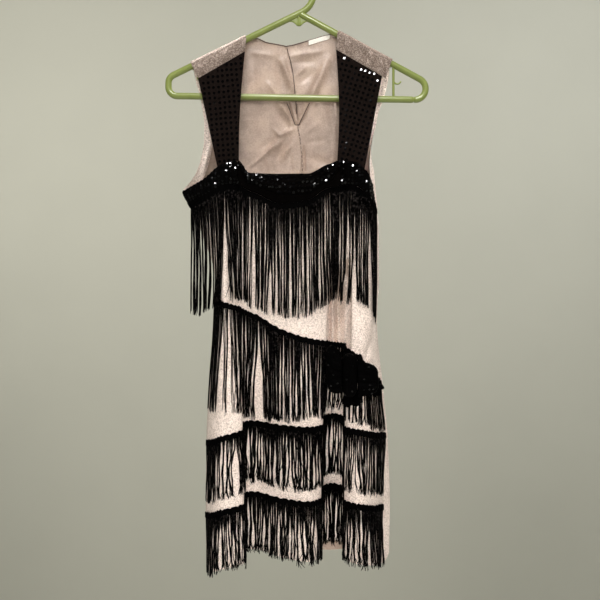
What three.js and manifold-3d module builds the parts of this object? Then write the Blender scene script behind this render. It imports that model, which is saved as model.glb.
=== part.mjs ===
// A sleeveless fringed flapper dress hanging on a tubular plastic hanger.
// Millimetres, +Z up, +X to the wearer's left as seen from the front, the front faces -Y.
// The origin is the underside of the hook's crown, where the hanger hangs on a rod.
import * as THREE from "three";
import { mergeVertices } from "three/addons/utils/BufferGeometryUtils.js";
import Module from "manifold-3d";

const wasm = await Module();
wasm.setup();

// ---------- driving dimensions ----------
const cloth = 1.2; // wall of every sewn piece
const seamGap = 0.3; // clear gap between pieces that are sewn edge to edge
const layerGap = 0.9; // clear gap between a panel and what is sewn on it
const fringeWall = 2.4; // plain wall that stands for a row of hanging threads
const tapeHeight = 9; // woven heading of each fringe
const tapeWall = 1.4;

const hanger = {
  tube: 5.2, // radius
  crown: 23, // radius of the hook's crown, on the centreline
  neck: 33, // radius of the hook's lower bend
  neckStart: 5, // how far the left arm runs on past the apex
  stem: 8.4, // straight upright stretch of the hook
  tip: 8, // straight end of the hook
  leftSlope: 26.0, // degrees below level
  rightSlope: 28.3,
  leftEnd: -196, // where the arms bend into the end loops
  rightEnd: 187,
  leftBend: 14, // radius of each end loop's corners
  rightBend: 17,
  barLeft: -132, // the bar's height at each end, below the apex
  barRight: -138,
  strut: 151, // distance of each accessory strut from the apex
  strutRadius: 2.0,
};
const rad = THREE.MathUtils.degToRad;
const leftFall = Math.tan(rad(hanger.leftSlope));
const rightFall = Math.tan(rad(hanger.rightSlope));

// The hook rises from the apex by its bend, stem and crown; the origin is under the crown.
const bendRise = hanger.neck * (Math.cos(rad(hanger.leftSlope)))
  + hanger.neckStart * Math.sin(rad(hanger.leftSlope));
const apexZ = -(bendRise + hanger.stem + hanger.crown - hanger.tube);
const armZ = (x) => apexZ - (x < 0 ? -x * leftFall : x * rightFall);

const hemLevel = -908; // level heights, before each place's own drop
const upperTapeLevel = -703;
const lowerTapeLevel = -816;
const fringeLength = { bust: 171, upper: 98, lower: 96 };

// Places across the front, from the left side seam to the right one, a row for each fold line.
// x and out (towards the viewer) at the bust and at the hem; starts: where the fold begins;
// drop: how far its hem and skirt tapes hang below level; bandTop, bandLow: the bust band's edges;
// hipTape: top of the slanting tape; hipEnd: where the fringe below it ends.
const folds = [
  { name: "leftSeam", drop: 35, bandTop: -344, bandLow: -371, hipTape: -512, hipEnd: -689 },
  { name: "leftSide", drop: 30, bandTop: -327, bandLow: -361, hipTape: -514, hipEnd: -691 },
  { name: "leftCrease", bustX: -115, bustOut: 24, hemX: -120, hemOut: 50, starts: -380,
    drop: 23, bandTop: -301, bandLow: -346, hipTape: -519, hipEnd: -692 },
  { name: "leftRidge", bustX: -99, bustOut: 22, hemX: -86, hemOut: 48, starts: -500,
    drop: 14, bandTop: -297.5, bandLow: -345, hipTape: -526, hipEnd: -692 },
  { name: "leftTuck", bustX: -93, bustOut: 21, hemX: -97, hemOut: 12, starts: -500,
    drop: 9, bandTop: -299, bandLow: -347, hipTape: -528, hipEnd: -700 },
  { name: "centreLeft", bustX: -78, bustOut: 22, hemX: -77, hemOut: 6, starts: -500,
    drop: 4, bandTop: -317, bandLow: -355, hipTape: -535, hipEnd: -704 },
  { name: "centreMid", bustX: -27, bustOut: 27, hemX: -23, hemOut: 42, starts: -420,
    drop: 7, bandTop: -319.5, bandLow: -374.5, hipTape: -562, hipEnd: -704 },
  { name: "centreRidge", bustX: 13, bustOut: 26, hemX: 17, hemOut: 58, starts: -450,
    drop: 8, bandTop: -319, bandLow: -369.5, hipTape: -575, hipEnd: -700 },
  { name: "ridgeEdge", bustX: 48, bustOut: 22, hemX: 31, hemOut: 44, starts: -470,
    drop: 6, bandTop: -303, bandLow: -349.5, hipTape: -580, hipEnd: -696 },
  { name: "recessLeft", bustX: 54, bustOut: 20.5, hemX: 26, hemOut: 2, starts: -470,
    drop: 0, bandTop: -300, bandLow: -348, hipTape: -581, hipEnd: -692 },
  { name: "recess", bustX: 63, bustOut: 20, hemX: 52, hemOut: -8, starts: -470,
    drop: -6, bandTop: -297.5, bandLow: -346.5, hipTape: -583, hipEnd: -690 },
  { name: "recessRight", bustX: 71, bustOut: 19.5, hemX: 83, hemOut: 2, starts: -470,
    drop: 2, bandTop: -297, bandLow: -346, hipTape: -585, hipEnd: -696 },
  { name: "rightEdge", bustX: 77, bustOut: 20, hemX: 72, hemOut: 45, starts: -470,
    drop: 9, bandTop: -297.5, bandLow: -345.5, hipTape: -589, hipEnd: -704 },
  { name: "rightMid", bustX: 91, bustOut: 21, hemX: 94, hemOut: 60, starts: -460,
    drop: 12, bandTop: -300, bandLow: -347, hipTape: -602, hipEnd: -706 },
  { name: "rightSide", drop: 18, bandTop: -311, bandLow: -357, hipTape: -624, hipEnd: -719 },
  { name: "rightSeam", drop: 23, bandTop: -333, bandLow: -380, hipTape: -643, hipEnd: -725 },
];
const band = { cowl: 5, middle: 6.2, spread: 1.6 }; // the bust band's draped middle
const looseEnd = 2.4; // the bust fringe hangs plumb beside the waist up to this fold place
const sideBulge = { leftSide: 6, rightSide: 8 }; // these two lie half way to their neighbours
const columnsPer = [2, 2, 2, 3, 2, 4, 3, 2, 3, 2, 2, 3, 2, 2, 2]; // facets between fold lines

// The two side seams and the back's turned edges at each height.
const sides = [
  { name: "neckline", z: -290, leftSeam: -188, leftTurn: -172, rightSeam: 112, rightTurn: 120 },
  { name: "underarm", z: -344, leftSeam: -183, leftTurn: -170, rightSeam: 115, rightTurn: 122 },
  { name: "bust", z: -373, leftSeam: -168, leftTurn: -163, rightSeam: 120, rightTurn: 125 },
  { name: "ribs", z: -420, leftSeam: -150, leftTurn: -148, rightSeam: 121, rightTurn: 127 },
  { name: "waist", z: -486, leftSeam: -131, leftTurn: -133, rightSeam: 121, rightTurn: 127 },
  { name: "highHip", z: -548, leftSeam: -133, leftTurn: -135, rightSeam: 119, rightTurn: 124 },
  { name: "hip", z: -660, leftSeam: -140, leftTurn: -143, rightSeam: 128, rightTurn: 134 },
  { name: "thigh", z: -735, leftSeam: -143, leftTurn: -147, rightSeam: 134, rightTurn: 141 },
  { name: "skirt", z: -845, leftSeam: -144, leftTurn: -148, rightSeam: 130, rightTurn: 145 },
  { name: "hem", z: -945, leftSeam: -143, leftTurn: -147, rightSeam: 134, rightTurn: 143 },
];
const seamOut = { left: { bust: 5, hem: 20 }, right: { bust: 10, hem: 15 } };
const turnOut = { left: { bust: -6, hem: -6 }, right: { bust: -2, hem: -7 } };
const bustZ = -345;
const hemZ = -940;

// Places across each half of the back, from its turned edge to the centre seam; topX: where the
// fold line reaches the shoulder or the neckline.
const backFolds = {
  left: [
    { name: "outer", bustX: -108, bustOut: -15, hemX: -102, hemOut: -33, topX: -84 },
    { name: "inner", bustX: -52, bustOut: -17, hemX: -50, hemOut: -21, topX: -52 },
    { name: "centre", bustOut: -16, hemOut: -34 },
  ],
  right: [
    { name: "outer", bustX: 92, bustOut: -14, hemX: 98, hemOut: -31, topX: 60 },
    { name: "inner", bustX: 50, bustOut: -17, hemX: 47, hemOut: -20, topX: 22 },
    { name: "centre", bustOut: -16, hemOut: -34 },
  ],
};
const shoulder = {
  left: { tip: -171, neck: -84, underarm: -340, turnTop: -138 },
  right: { tip: 146, neck: 60, underarm: -333, turnTop: 118 },
};
const armholes = {
  left: [
    { z: -340, x: -183 }, { z: -326, x: -171 }, { z: -312, x: -163 }, { z: -292, x: -156.5 },
    { z: -260, x: -152 }, { z: -236, x: -152 }, { z: -212, x: -155 }, { z: -187, x: -159.5 },
    { z: -168, x: -165 }, { z: -140, x: -171 },
  ],
  right: [
    { z: -333, x: 115 }, { z: -300, x: 113 }, { z: -280, x: 114.5 }, { z: -260, x: 118 },
    { z: -236, x: 124 }, { z: -215, x: 128 }, { z: -204, x: 132 }, { z: -188, x: 138 },
    { z: -152, x: 145 }, { z: -138, x: 146 },
  ],
};
const neckline = [
  { x: -84, z: -98 }, { x: -68, z: -95 }, { x: -52, z: -101 }, { x: -21, z: -107.5 },
  { x: -3, z: -106 }, { x: 22, z: -96 }, { x: 50, z: -88.5 }, { x: 60, z: -87 },
];
const centreBack = [
  { z: -108, x: -21 }, { z: -190, x: -8 }, { z: -234, x: -5 }, { z: -262, x: 2 },
  { z: -311, x: 5 }, { z: -420, x: 4 }, { z: -945, x: 0 },
];
const keyhole = { top: -112, bottom: -234, half: 1.6 }; // the slit in the centre back
const backInner = { shoulder: -7.0, neck: -8.5 }; // inner face of the back at its top edge
const backHem = -922; // at the centre seam
const centreUnderarm = -340;

// Yokes over the hanger's arms, and the front straps that hang from them.
const yokes = {
  left: { tip: -171, neck: -84, frontTip: [-160.6, -163.4], frontNeck: [-86, -120.5] },
  right: { tip: 147, neck: 61, frontTip: [138, -163], frontNeck: [59, -117.5] },
};
const straps = {
  left: { outerTop: [-160.6, -163.4], innerTop: [-86, -120.5], outerLow: -127.6, innerLow: -94.5,
    innerBow: -3 },
  right: { outerTop: [132, -160.3], innerTop: [59, -117.5], outerLow: 102.4, innerLow: 59.9,
    innerBow: 4 },
};
const strapOut = { top: 7.0, bar: 9.0, low: 22 };

// Bow at the hip: loops and tails as ribbons that leave the knot.
const bow = {
  knot: [77, -631], out: 52, lean: 0.13, knotWidth: 26, knotHeight: 66, knotDepth: 22,
  loops: [
    { name: "bow_loop_left", tip: [41, -618], waist: 60, width: 76, puff: 20 },
    { name: "bow_loop_right", tip: [122, -638], waist: 60, width: 46, puff: 18 },
  ],
  tails: [
    { name: "bow_tail_low", tip: [83, -679], waist: 14, width: 32 },
    { name: "bow_tail_right", tip: [127, -657], waist: 10, width: 24 },
  ],
  tailDepth: 3, // how far a tail's middle bows out
};

const label = { from: [15.5, -103], to: [49.5, -93], height: 7, wall: 1 };

const palette = {
  foil: { color: 0xd9cfc6, roughness: 0.45, metalness: 0.35 },
  yokeFoil: { color: 0x9a877f, roughness: 0.5, metalness: 0.3 },
  sequin: { color: 0x0b0909, roughness: 0.3, metalness: 0.2 },
  thread: { color: 0x0d0a0a, roughness: 0.6, metalness: 0 },
  label: { color: 0xf2ece4, roughness: 0.8, metalness: 0 },
  plastic: { color: 0x9dbb45, roughness: 0.35, metalness: 0 },
};

// ---------- curves ----------
const mix = (a, b, t) => a + (b - a) * t;
const clamp01 = (t) => Math.min(1, Math.max(0, t));
const ease = (t) => clamp01(t) ** 2 * (3 - 2 * clamp01(t));

// Slopes of a cubic through values at knots that never overshoots between them.
function calmSlopes(knots, values) {
  const secant = values.slice(1).map((v, i) => (v - values[i]) / (knots[i + 1] - knots[i]));
  return values.map((_, i) => {
    if (i === 0) return secant[0];
    if (i === values.length - 1) return secant[i - 1];
    const a = secant[i - 1];
    const b = secant[i];
    return a * b <= 0 ? 0 : (2 * a * b) / (a + b);
  });
}

function hermite(a, b, slopeA, slopeB, span, t) {
  const t2 = t * t;
  const t3 = t2 * t;
  return a * (2 * t3 - 3 * t2 + 1) + b * (3 * t2 - 2 * t3)
    + span * (slopeA * (t3 - 2 * t2 + t) + slopeB * (t3 - t2));
}

// A calm curve through a table's rows: reads column `value` at column `key`.
function curveOf(rows, key, value) {
  const sorted = [...rows].sort((p, q) => p[key] - q[key]);
  const knots = sorted.map((r) => r[key]);
  const values = sorted.map((r) => r[value]);
  const slopes = calmSlopes(knots, values);
  return (at) => {
    const k = Math.min(knots[knots.length - 1], Math.max(knots[0], at));
    let i = 0;
    while (i < knots.length - 2 && k > knots[i + 1]) i += 1;
    const span = knots[i + 1] - knots[i];
    return hermite(values[i], values[i + 1], slopes[i], slopes[i + 1], span, (k - knots[i]) / span);
  };
}

const sideX = {};
for (const edge of ["leftSeam", "leftTurn", "rightSeam", "rightTurn"])
  sideX[edge] = curveOf(sides, "z", edge);
const neckZ = curveOf(neckline, "x", "z");
const centreX = curveOf(centreBack, "z", "x");
const foldColumn = {};
for (const column of ["drop", "bandTop", "bandLow", "hipTape", "hipEnd"])
  foldColumn[column] = curveOf(folds.map((f, i) => ({ i, value: f[column] })), "i", "value");

const share = (z) => clamp01((bustZ - z) / (bustZ - hemZ)); // 0 at the bust, 1 at the hem
const seam = (side, z) => [sideX[side + "Seam"](z), mix(seamOut[side].bust, seamOut[side].hem, share(z))];
const turn = (side, z) => [sideX[side + "Turn"](z), mix(turnOut[side].bust, turnOut[side].hem, share(z))];

// Each fold line's place [x, out] at one height, across the front.
function frontPlaces(z) {
  const places = folds.map((f) => {
    if (f.bustX === undefined) return null;
    const t = clamp01((f.starts - z) / (f.starts - hemZ));
    const grown = 1 - (1 - t) ** 2;
    return [mix(f.bustX, f.hemX, grown), mix(f.bustOut, f.hemOut, grown)];
  });
  const last = places.length - 1;
  places[0] = seam("left", z);
  places[last] = seam("right", z);
  const halfWay = (a, b, bulge) => [mix(a[0], b[0], 0.5), mix(a[1], b[1], 0.5) + bulge];
  places[1] = halfWay(places[0], places[2], sideBulge.leftSide);
  places[last - 1] = halfWay(places[last - 2], places[last], sideBulge.rightSide);
  return places;
}

function backPlaces(side, z) {
  const edge = seam(side, z);
  const inner = backFolds[side].map((f) => {
    const t = share(z);
    const x = f.bustX === undefined ? centreX(z) : mix(f.bustX, f.hemX, t);
    return [x, mix(f.bustOut, f.hemOut, t)];
  });
  return [[edge[0], edge[1] - 2 * seamGap], turn(side, z), ...inner];
}

// A point and its outward normal on a smooth line through places, at s counted in places.
function onLine(places, s, outward) {
  const last = places.length - 1;
  const i = Math.min(last - 1, Math.max(0, Math.floor(s)));
  const t = s - i;
  const gap = (k) => Math.max(0.5, Math.hypot(places[k + 1][0] - places[k][0],
    places[k + 1][1] - places[k][1]));
  const slope = (k, axis) => {
    const ahead = k < last ? (places[k + 1][axis] - places[k][axis]) / gap(k) : null;
    const behind = k > 0 ? (places[k][axis] - places[k - 1][axis]) / gap(k - 1) : null;
    if (ahead === null) return behind;
    if (behind === null) return ahead;
    return (ahead * gap(k - 1) + behind * gap(k)) / (gap(k - 1) + gap(k));
  };
  const at = (axis, u) => hermite(places[i][axis], places[i + 1][axis], slope(i, axis),
    slope(i + 1, axis), gap(i), u);
  const step = 1e-3;
  const low = Math.max(0, t - step);
  const high = Math.min(1, t + step);
  const tangent = [at(0, high) - at(0, low), at(1, high) - at(1, low)];
  const size = Math.hypot(...tangent) * outward;
  return { x: at(0, t), out: at(1, t), nx: -tangent[1] / size, nOut: tangent[0] / size };
}

// A point of the front's inner face at fold place s and height z, moved out by `off`.
// At the side seams it is moved straight sideways, so that front and back meet edge to edge.
function frontPoint(s, z, off) {
  const p = onLine(frontPlaces(z), s, 1);
  if (s === 0) [p.nx, p.nOut] = [-1, 0];
  if (s === lastFold) [p.nx, p.nOut] = [1, 0];
  return new THREE.Vector3(p.x + p.nx * off, -(p.out + p.nOut * off), z);
}

// The panel's rows, from its top edge down to the hem; all that is sewn on it shares them.
const overlap = 5; // how far the panel's top edge lies under the bust band's
const lastFold = folds.length - 1;
const hemAt = (s) => hemLevel - foldColumn.drop(s);
const bandEdge = (s) => foldColumn.bandLow(s) + tapeHeight;
const hipLow = (s) => foldColumn.hipTape(s) - tapeHeight;
const upperTop = (s) => upperTapeLevel - foldColumn.drop(s);
const lowerTop = (s) => lowerTapeLevel - foldColumn.drop(s);
const between = (top, low, v) => (s) => mix(top(s), low(s), v);
const levels = [
  (s) => foldColumn.bandTop(s) - overlap,
  bandEdge,
  foldColumn.bandLow,
  between(foldColumn.bandLow, foldColumn.hipTape, 0.35),
  between(foldColumn.bandLow, foldColumn.hipTape, 0.7),
  foldColumn.hipTape,
  hipLow,
  between(hipLow, upperTop, 0.33),
  between(hipLow, upperTop, 0.67),
  upperTop,
  (s) => upperTop(s) - tapeHeight,
  between(upperTop, lowerTop, 0.5),
  lowerTop,
  (s) => lowerTop(s) - tapeHeight,
  between(lowerTop, hemAt, 0.5),
  hemAt,
];

// A point `off` outside the panel's inner face, on the straight line between two of its rows.
function onPanel(s, z, off) {
  const heights = levels.map((level) => level(s));
  let j = 0;
  while (j < heights.length - 2 && z < heights[j + 1]) j += 1;
  const t = (heights[j] - z) / (heights[j] - heights[j + 1]);
  return frontPoint(s, heights[j], off).lerp(frontPoint(s, heights[j + 1], off), t);
}

// ---------- walls ----------
// A closed wall between two grids of points: inner(u, v) and outer(u, v), u and v from tables.
function wall(us, vs, inner, outer) {
  const nu = us.length;
  const nv = vs.length;
  const points = [];
  for (const face of [inner, outer])
    for (const v of vs)
      for (const u of us)
        points.push(face(u, v));
  const at = (layer, i, j) => layer * nu * nv + j * nu + i;
  const index = [];
  const quad = (a, b, c, d) => index.push(a, b, c, a, c, d);
  for (let j = 0; j < nv - 1; j += 1)
    for (let i = 0; i < nu - 1; i += 1) {
      quad(at(1, i, j), at(1, i + 1, j), at(1, i + 1, j + 1), at(1, i, j + 1));
      quad(at(0, i, j), at(0, i, j + 1), at(0, i + 1, j + 1), at(0, i + 1, j));
    }
  for (let i = 0; i < nu - 1; i += 1) {
    quad(at(0, i, 0), at(0, i + 1, 0), at(1, i + 1, 0), at(1, i, 0));
    quad(at(1, i, nv - 1), at(1, i + 1, nv - 1), at(0, i + 1, nv - 1), at(0, i, nv - 1));
  }
  for (let j = 0; j < nv - 1; j += 1) {
    quad(at(1, 0, j), at(1, 0, j + 1), at(0, 0, j + 1), at(0, 0, j));
    quad(at(0, nu - 1, j), at(0, nu - 1, j + 1), at(1, nu - 1, j + 1), at(1, nu - 1, j));
  }
  const geometry = new THREE.BufferGeometry().setFromPoints(points);
  geometry.setIndex(index);
  return outwards(geometry);
}

// Turns a closed geometry's faces round if its volume comes out negative.
function outwards(geometry) {
  const p = geometry.attributes.position;
  const index = geometry.index.array;
  const corner = [0, 1, 2].map(() => new THREE.Vector3());
  let volume = 0;
  for (let i = 0; i < index.length; i += 3) {
    corner.forEach((c, k) => c.fromBufferAttribute(p, index[i + k]));
    volume += corner[0].dot(corner[1].clone().cross(corner[2]));
  }
  if (volume < 0)
    for (let i = 0; i < index.length; i += 3)
      [index[i + 1], index[i + 2]] = [index[i + 2], index[i + 1]];
  geometry.computeVertexNormals();
  return geometry;
}

const spread = (count) => Array.from({ length: count + 1 }, (_, i) => i / count);
const columns = [0];
columnsPer.forEach((n, i) => {
  for (let k = 1; k <= n; k += 1) columns.push(i + k / n);
});

const group = new THREE.Group();
group.name = "flapper_dress";
function add(name, geometry, finish) {
  const mesh = new THREE.Mesh(geometry, new THREE.MeshStandardMaterial(palette[finish]));
  mesh.name = name;
  group.add(mesh);
  return mesh;
}

// A strip of the front between two height lines, sewn `off` outside the panel's inner face.
function frontStrip(top, low, off, thick) {
  const face = (lift) => (s, v) => onPanel(s, mix(top(s), low(s), v), off + lift);
  return wall(columns, spread(1), face(0), face(thick));
}

// ---------- front panel, bust band, tapes and fringes ----------
const rowsOf = spread(levels.length - 1).map((v) => Math.round(v * (levels.length - 1)));
const panelFace = (lift) => (s, row) => frontPoint(s, levels[row](s), lift);
add("front_panel", wall(columns, rowsOf, panelFace(0), panelFace(cloth)), "foil");

const sewnOn = cloth + layerGap;
const bandSeam = (s) => bandEdge(s) + 2 * seamGap;
const bandFace = (lift) => (s, v) => {
  const z = mix(foldColumn.bandTop(s), bandSeam(s), v);
  const cowl = band.cowl * Math.sin(Math.PI * v) * Math.exp(-(((s - band.middle) / band.spread) ** 2));
  return onPanel(s, z, sewnOn + cowl + lift);
};
add("bust_band", wall(columns, spread(4), bandFace(0), bandFace(cloth)), "sequin");

// A row of hanging threads: it follows the panel, and `hang` says how far it stands off it.
function fringe(top, end, rows, hang) {
  const face = (lift) => (s, v) => {
    const z = mix(top(s), end(s), v);
    const point = onPanel(s, z, sewnOn + lift);
    const loose = hang.loose ? hang.loose(s) : 0;
    if (loose > 0) point.x = mix(point.x, onPanel(s, top(s), sewnOn + lift).x, loose);
    const forward = new THREE.Vector3(0, -1, 0);
    const nearSeam = 1 - clamp01(Math.min(s, lastFold - s));
    const away = onPanel(s, z, 1).sub(onPanel(s, z, 0)).lerp(forward, Math.max(loose, nearSeam));
    return point.addScaledVector(away, hang.out * v);
  };
  return wall(columns, spread(rows), face(0), face(fringeWall));
}
const tiers = [
  { name: "bust", top: bandEdge, end: (s) => foldColumn.bandLow(s) - fringeLength.bust, rows: 4,
    hang: { out: 9, loose: (s) => ease((looseEnd - s) / looseEnd) } },
  { name: "hip", top: foldColumn.hipTape, end: foldColumn.hipEnd, rows: 3, hang: { out: 3 } },
  { name: "upper_skirt", top: upperTop, end: (s) => upperTop(s) - fringeLength.upper, rows: 2,
    hang: { out: 2 } },
  { name: "lower_skirt", top: lowerTop, end: (s) => lowerTop(s) - fringeLength.lower, rows: 2,
    hang: { out: 2 } },
];
for (const { name, top, end, rows, hang } of tiers) {
  const low = (s) => top(s) - tapeHeight;
  add("tape_" + name, frontStrip(top, low, sewnOn, tapeWall), "thread");
  add("fringe_" + name, fringe((s) => low(s) - 3 * seamGap, end, rows, hang), "thread");
}

// ---------- back ----------
// Rows 0 to 1 climb from the hem to the underarm, 1 to 2 from there to the shoulder and neckline.
function backPoint(side, s, row, off) {
  const edge = shoulder[side];
  const seamX = armholes[side][0].x;
  const shape = backFolds[side];
  const last = shape.length + 1;
  const inwards = side === "left" ? 1 : -1;
  const hem = side === "left" ? hemLevel - folds[0].drop : hemLevel - folds[folds.length - 1].drop;
  const hemHere = mix(hem, backHem, ease(s));
  const underarm = mix(edge.underarm, centreUnderarm, ease(s / last));
  const z0 = mix(hemHere, underarm, Math.min(1, row));
  const base = onLine(backPlaces(side, z0), s, -inwards);
  let { x, out } = base;
  let z = z0;
  if (row > 1) {
    const v = row - 1;
    const tops = [edge.tip, edge.turnTop, shape[0].topX, shape[1].topX, centreX(-108)];
    const topX = curveOf(tops.map((value, i) => ({ i, value })), "i", "value")(s);
    const onShoulder = s <= 2;
    const topZ = onShoulder ? armZ(topX) : neckZ(topX);
    z = mix(underarm, topZ, v);
    x = mix(base.x, topX, v);
    const edgeZ = mix(edge.underarm, armZ(edge.tip), v);
    const edgeX = mix(seamX, edge.tip, v);
    x += (armholeX[side](edgeZ) - edgeX) * (1 - s / last) ** 1.5;
    if (s === last) x = centreX(z);
    const topOut = onShoulder ? backInner.shoulder : mix(backInner.shoulder, backInner.neck, s - 2);
    out = mix(base.out, topOut, ease(v * 1.5));
  }
  if (s === last) {
    const open = clamp01((z - keyhole.bottom) / (keyhole.top - keyhole.bottom));
    x -= inwards * (seamGap / 2 + keyhole.half * Math.sin(Math.PI * open));
  }
  const fade = Math.max(0, row - 1);
  let nx = mix(base.nx, 0, ease(fade * 3));
  let nOut = mix(base.nOut, -1, ease(fade * 3));
  if (s === last) [nx, nOut] = [0, -1];
  if (s === 0 && row <= 1) [nx, nOut] = [-inwards, 0];
  const size = Math.hypot(nx, nOut);
  return new THREE.Vector3(x + (nx / size) * off, -(out + (nOut / size) * off), z);
}
const armholeX = {
  left: curveOf(armholes.left, "z", "x"),
  right: curveOf(armholes.right, "z", "x"),
};
const backRows = [0, 0.14, 0.29, 0.43, 0.57, 0.71, 0.86, 1, 1.12, 1.25, 1.4, 1.55, 1.7, 1.85, 2];
const backColumns = [0, 0.5, 1, 1.5, 2, 2.33, 2.67, 3, 3.33, 3.67, 4];
for (const side of ["left", "right"])
  add("back_" + side, wall(backColumns, backRows,
    (s, row) => backPoint(side, s, row, 0), (s, row) => backPoint(side, s, row, cloth)), "foil");

// ---------- yokes ----------
// The yoke's section runs up the front, over the arm's tube, and a little way down the back.
const backLeg = 6;
function yokePoint(side, a, t, lift) {
  const y = yokes[side];
  const x = mix(y.tip, y.neck, a);
  const axis = new THREE.Vector3(x, 0, armZ(x));
  const slope = rad(side === "left" ? hanger.leftSlope : -hanger.rightSlope);
  const up = new THREE.Vector3(-Math.sin(slope), 0, Math.cos(slope));
  const radius = hanger.tube + seamGap + lift;
  if (t < 0) {
    // the front leg, from -1 at its sewn edge to 0 beside the tube
    const front = [0, 1].map((k) => mix(y.frontTip[k], y.frontNeck[k], a));
    return new THREE.Vector3(mix(axis.x, front[0], -t), -radius, mix(axis.z, front[1], -t));
  }
  if (t > 1) return axis.clone().add(new THREE.Vector3(0, radius, -(t - 1) * backLeg));
  const turned = Math.PI * t;
  return axis.clone().addScaledVector(up, radius * Math.sin(turned))
    .add(new THREE.Vector3(0, -radius * Math.cos(turned), 0));
}
const yokeSection = [-1, -0.5, 0, 0.17, 0.33, 0.5, 0.67, 0.83, 1, 2];
for (const side of ["left", "right"])
  add("yoke_" + side, wall(spread(6), yokeSection,
    (a, t) => yokePoint(side, a, t, 0), (a, t) => yokePoint(side, a, t, cloth)), "yokeFoil");

// ---------- straps ----------
const bandTopAt = (x) => {
  // height of the band's top edge at x, found along the fold places
  const top = curveOf(columns.map((s) => {
    const z = foldColumn.bandTop(s);
    return { x: frontPoint(s, z, 0).x, z };
  }), "x", "z");
  return top(x);
};
function strapPoint(side, a, v, lift) {
  // a: 0 at the outer edge, 1 at the inner one; v: 0 at the yoke, 1 at the band
  const strap = straps[side];
  const topX = mix(strap.outerTop[0], strap.innerTop[0], a);
  const topZ = mix(strap.outerTop[1], strap.innerTop[1], a) - 2 * seamGap;
  const lowX = mix(strap.outerLow, strap.innerLow, a);
  const lowZ = bandTopAt(lowX) + 2 * seamGap;
  const x = mix(topX, lowX, v) + strap.innerBow * Math.sin(Math.PI * v) * a;
  const z = mix(topZ, lowZ, v);
  const toBar = ease(v / 0.3);
  const out = mix(mix(strapOut.top, strapOut.bar, toBar), strapOut.low, ease((v - 0.25) / 0.75));
  return new THREE.Vector3(x, -(out + lift), z);
}
for (const side of ["left", "right"])
  add("strap_" + side, wall(spread(4), spread(8),
    (a, v) => strapPoint(side, a, v, 0), (a, v) => strapPoint(side, a, v, cloth)), "sequin");

// ---------- hip bow ----------
function ribbonFrame(tip) {
  const root = new THREE.Vector3(bow.knot[0], -bow.out, bow.knot[1]); // behind the knot
  const along = new THREE.Vector3(tip[0], -bow.out, tip[1]).sub(root);
  const reach = along.length();
  along.normalize();
  return { root, along, across: new THREE.Vector3(0, 1, 0).cross(along), reach };
}
// The bow leans with the skirt: its lower parts stand further out.
const front = new THREE.Vector3(0, -1, 0);
const leaning = (point) => point.addScaledVector(front, (bow.knot[1] - point.z) * bow.lean);
const clearOfKnot = bow.knotWidth / 2 + seamGap;
const across = new THREE.Vector3(0, 0, 1); // the loops' ends stand upright
for (const loop of bow.loops) {
  const { root, along, reach } = ribbonFrame(loop.tip);
  // u runs out along the back of the loop, round its end and back along its front
  const at = (lift) => (u, v) => {
    const turned = Math.PI * u;
    const far = Math.sin(turned) ** 0.7;
    const half = mix(loop.waist, loop.width, far) / 2;
    const depth = loop.puff / 2 - lift;
    return leaning(root.clone()
      .addScaledVector(along, clearOfKnot + (reach - clearOfKnot - lift) * far)
      .addScaledVector(across, half * v)
      .addScaledVector(front, bow.tailDepth + layerGap + cloth + loop.puff / 2
        - depth * Math.cos(turned)));
  };
  add(loop.name, wall(spread(12), [-1, -0.5, 0, 0.5, 1], at(cloth), at(0)), "sequin");
}
for (const tail of bow.tails) {
  const { root, along, across, reach } = ribbonFrame(tail.tip);
  const at = (lift) => (u, v) => leaning(root.clone()
    .addScaledVector(along, clearOfKnot + (reach - clearOfKnot) * u)
    .addScaledVector(across, (mix(tail.waist, tail.width, ease(u)) / 2) * v)
    .addScaledVector(front, bow.tailDepth * (1 - v * v) + cloth - lift));
  add(tail.name, wall(spread(5), [-1, -0.5, 0, 0.5, 1], at(cloth), at(0)), "sequin");
}
const knot = new THREE.SphereGeometry(0.5, 16, 12);
knot.rotateX(Math.PI / 2);
knot.scale(bow.knotWidth, bow.knotDepth, bow.knotHeight);
knot.translate(bow.knot[0], -(bow.out + bow.tailDepth + 2 * layerGap + cloth + bow.knotDepth / 2),
  bow.knot[1]);
add("bow_knot", knot, "sequin");

// ---------- neck label and button ----------
const labelAt = (out) => (a, v) => new THREE.Vector3(mix(label.from[0], label.to[0], a), -out,
  mix(label.from[1], label.to[1], a) + label.height * (v - 0.5));
const labelOut = backInner.neck + 4 * seamGap;
add("neck_label", wall(spread(2), spread(1), labelAt(labelOut), labelAt(labelOut + label.wall)), "label");


// ---------- hanger ----------
// A path that keeps its own corner points when it is swept.
class PathThrough extends THREE.Curve {
  constructor(points) {
    super();
    this.points = points;
  }
  getPoint(t, target = new THREE.Vector3()) {
    const at = t * (this.points.length - 1);
    const i = Math.min(this.points.length - 2, Math.floor(at));
    return target.lerpVectors(this.points[i], this.points[i + 1], at - i);
  }
  getPointAt(u, target) {
    return this.getPoint(u, target);
  }
  getTangentAt(u, target = new THREE.Vector3()) {
    const step = 0.5 / (this.points.length - 1);
    return target.copy(this.getPoint(Math.min(1, u + step)))
      .sub(this.getPoint(Math.max(0, u - step))).normalize();
  }
}
function tubeAlong(points, radius, sidesRound) {
  const ring = spread(sidesRound).slice(0, -1).map((t) => new THREE.Vector2(
    radius * Math.cos(2 * Math.PI * t), radius * Math.sin(2 * Math.PI * t)));
  return new THREE.ExtrudeGeometry(new THREE.Shape(ring),
    { extrudePath: new PathThrough(points), steps: points.length - 1 });
}
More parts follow.
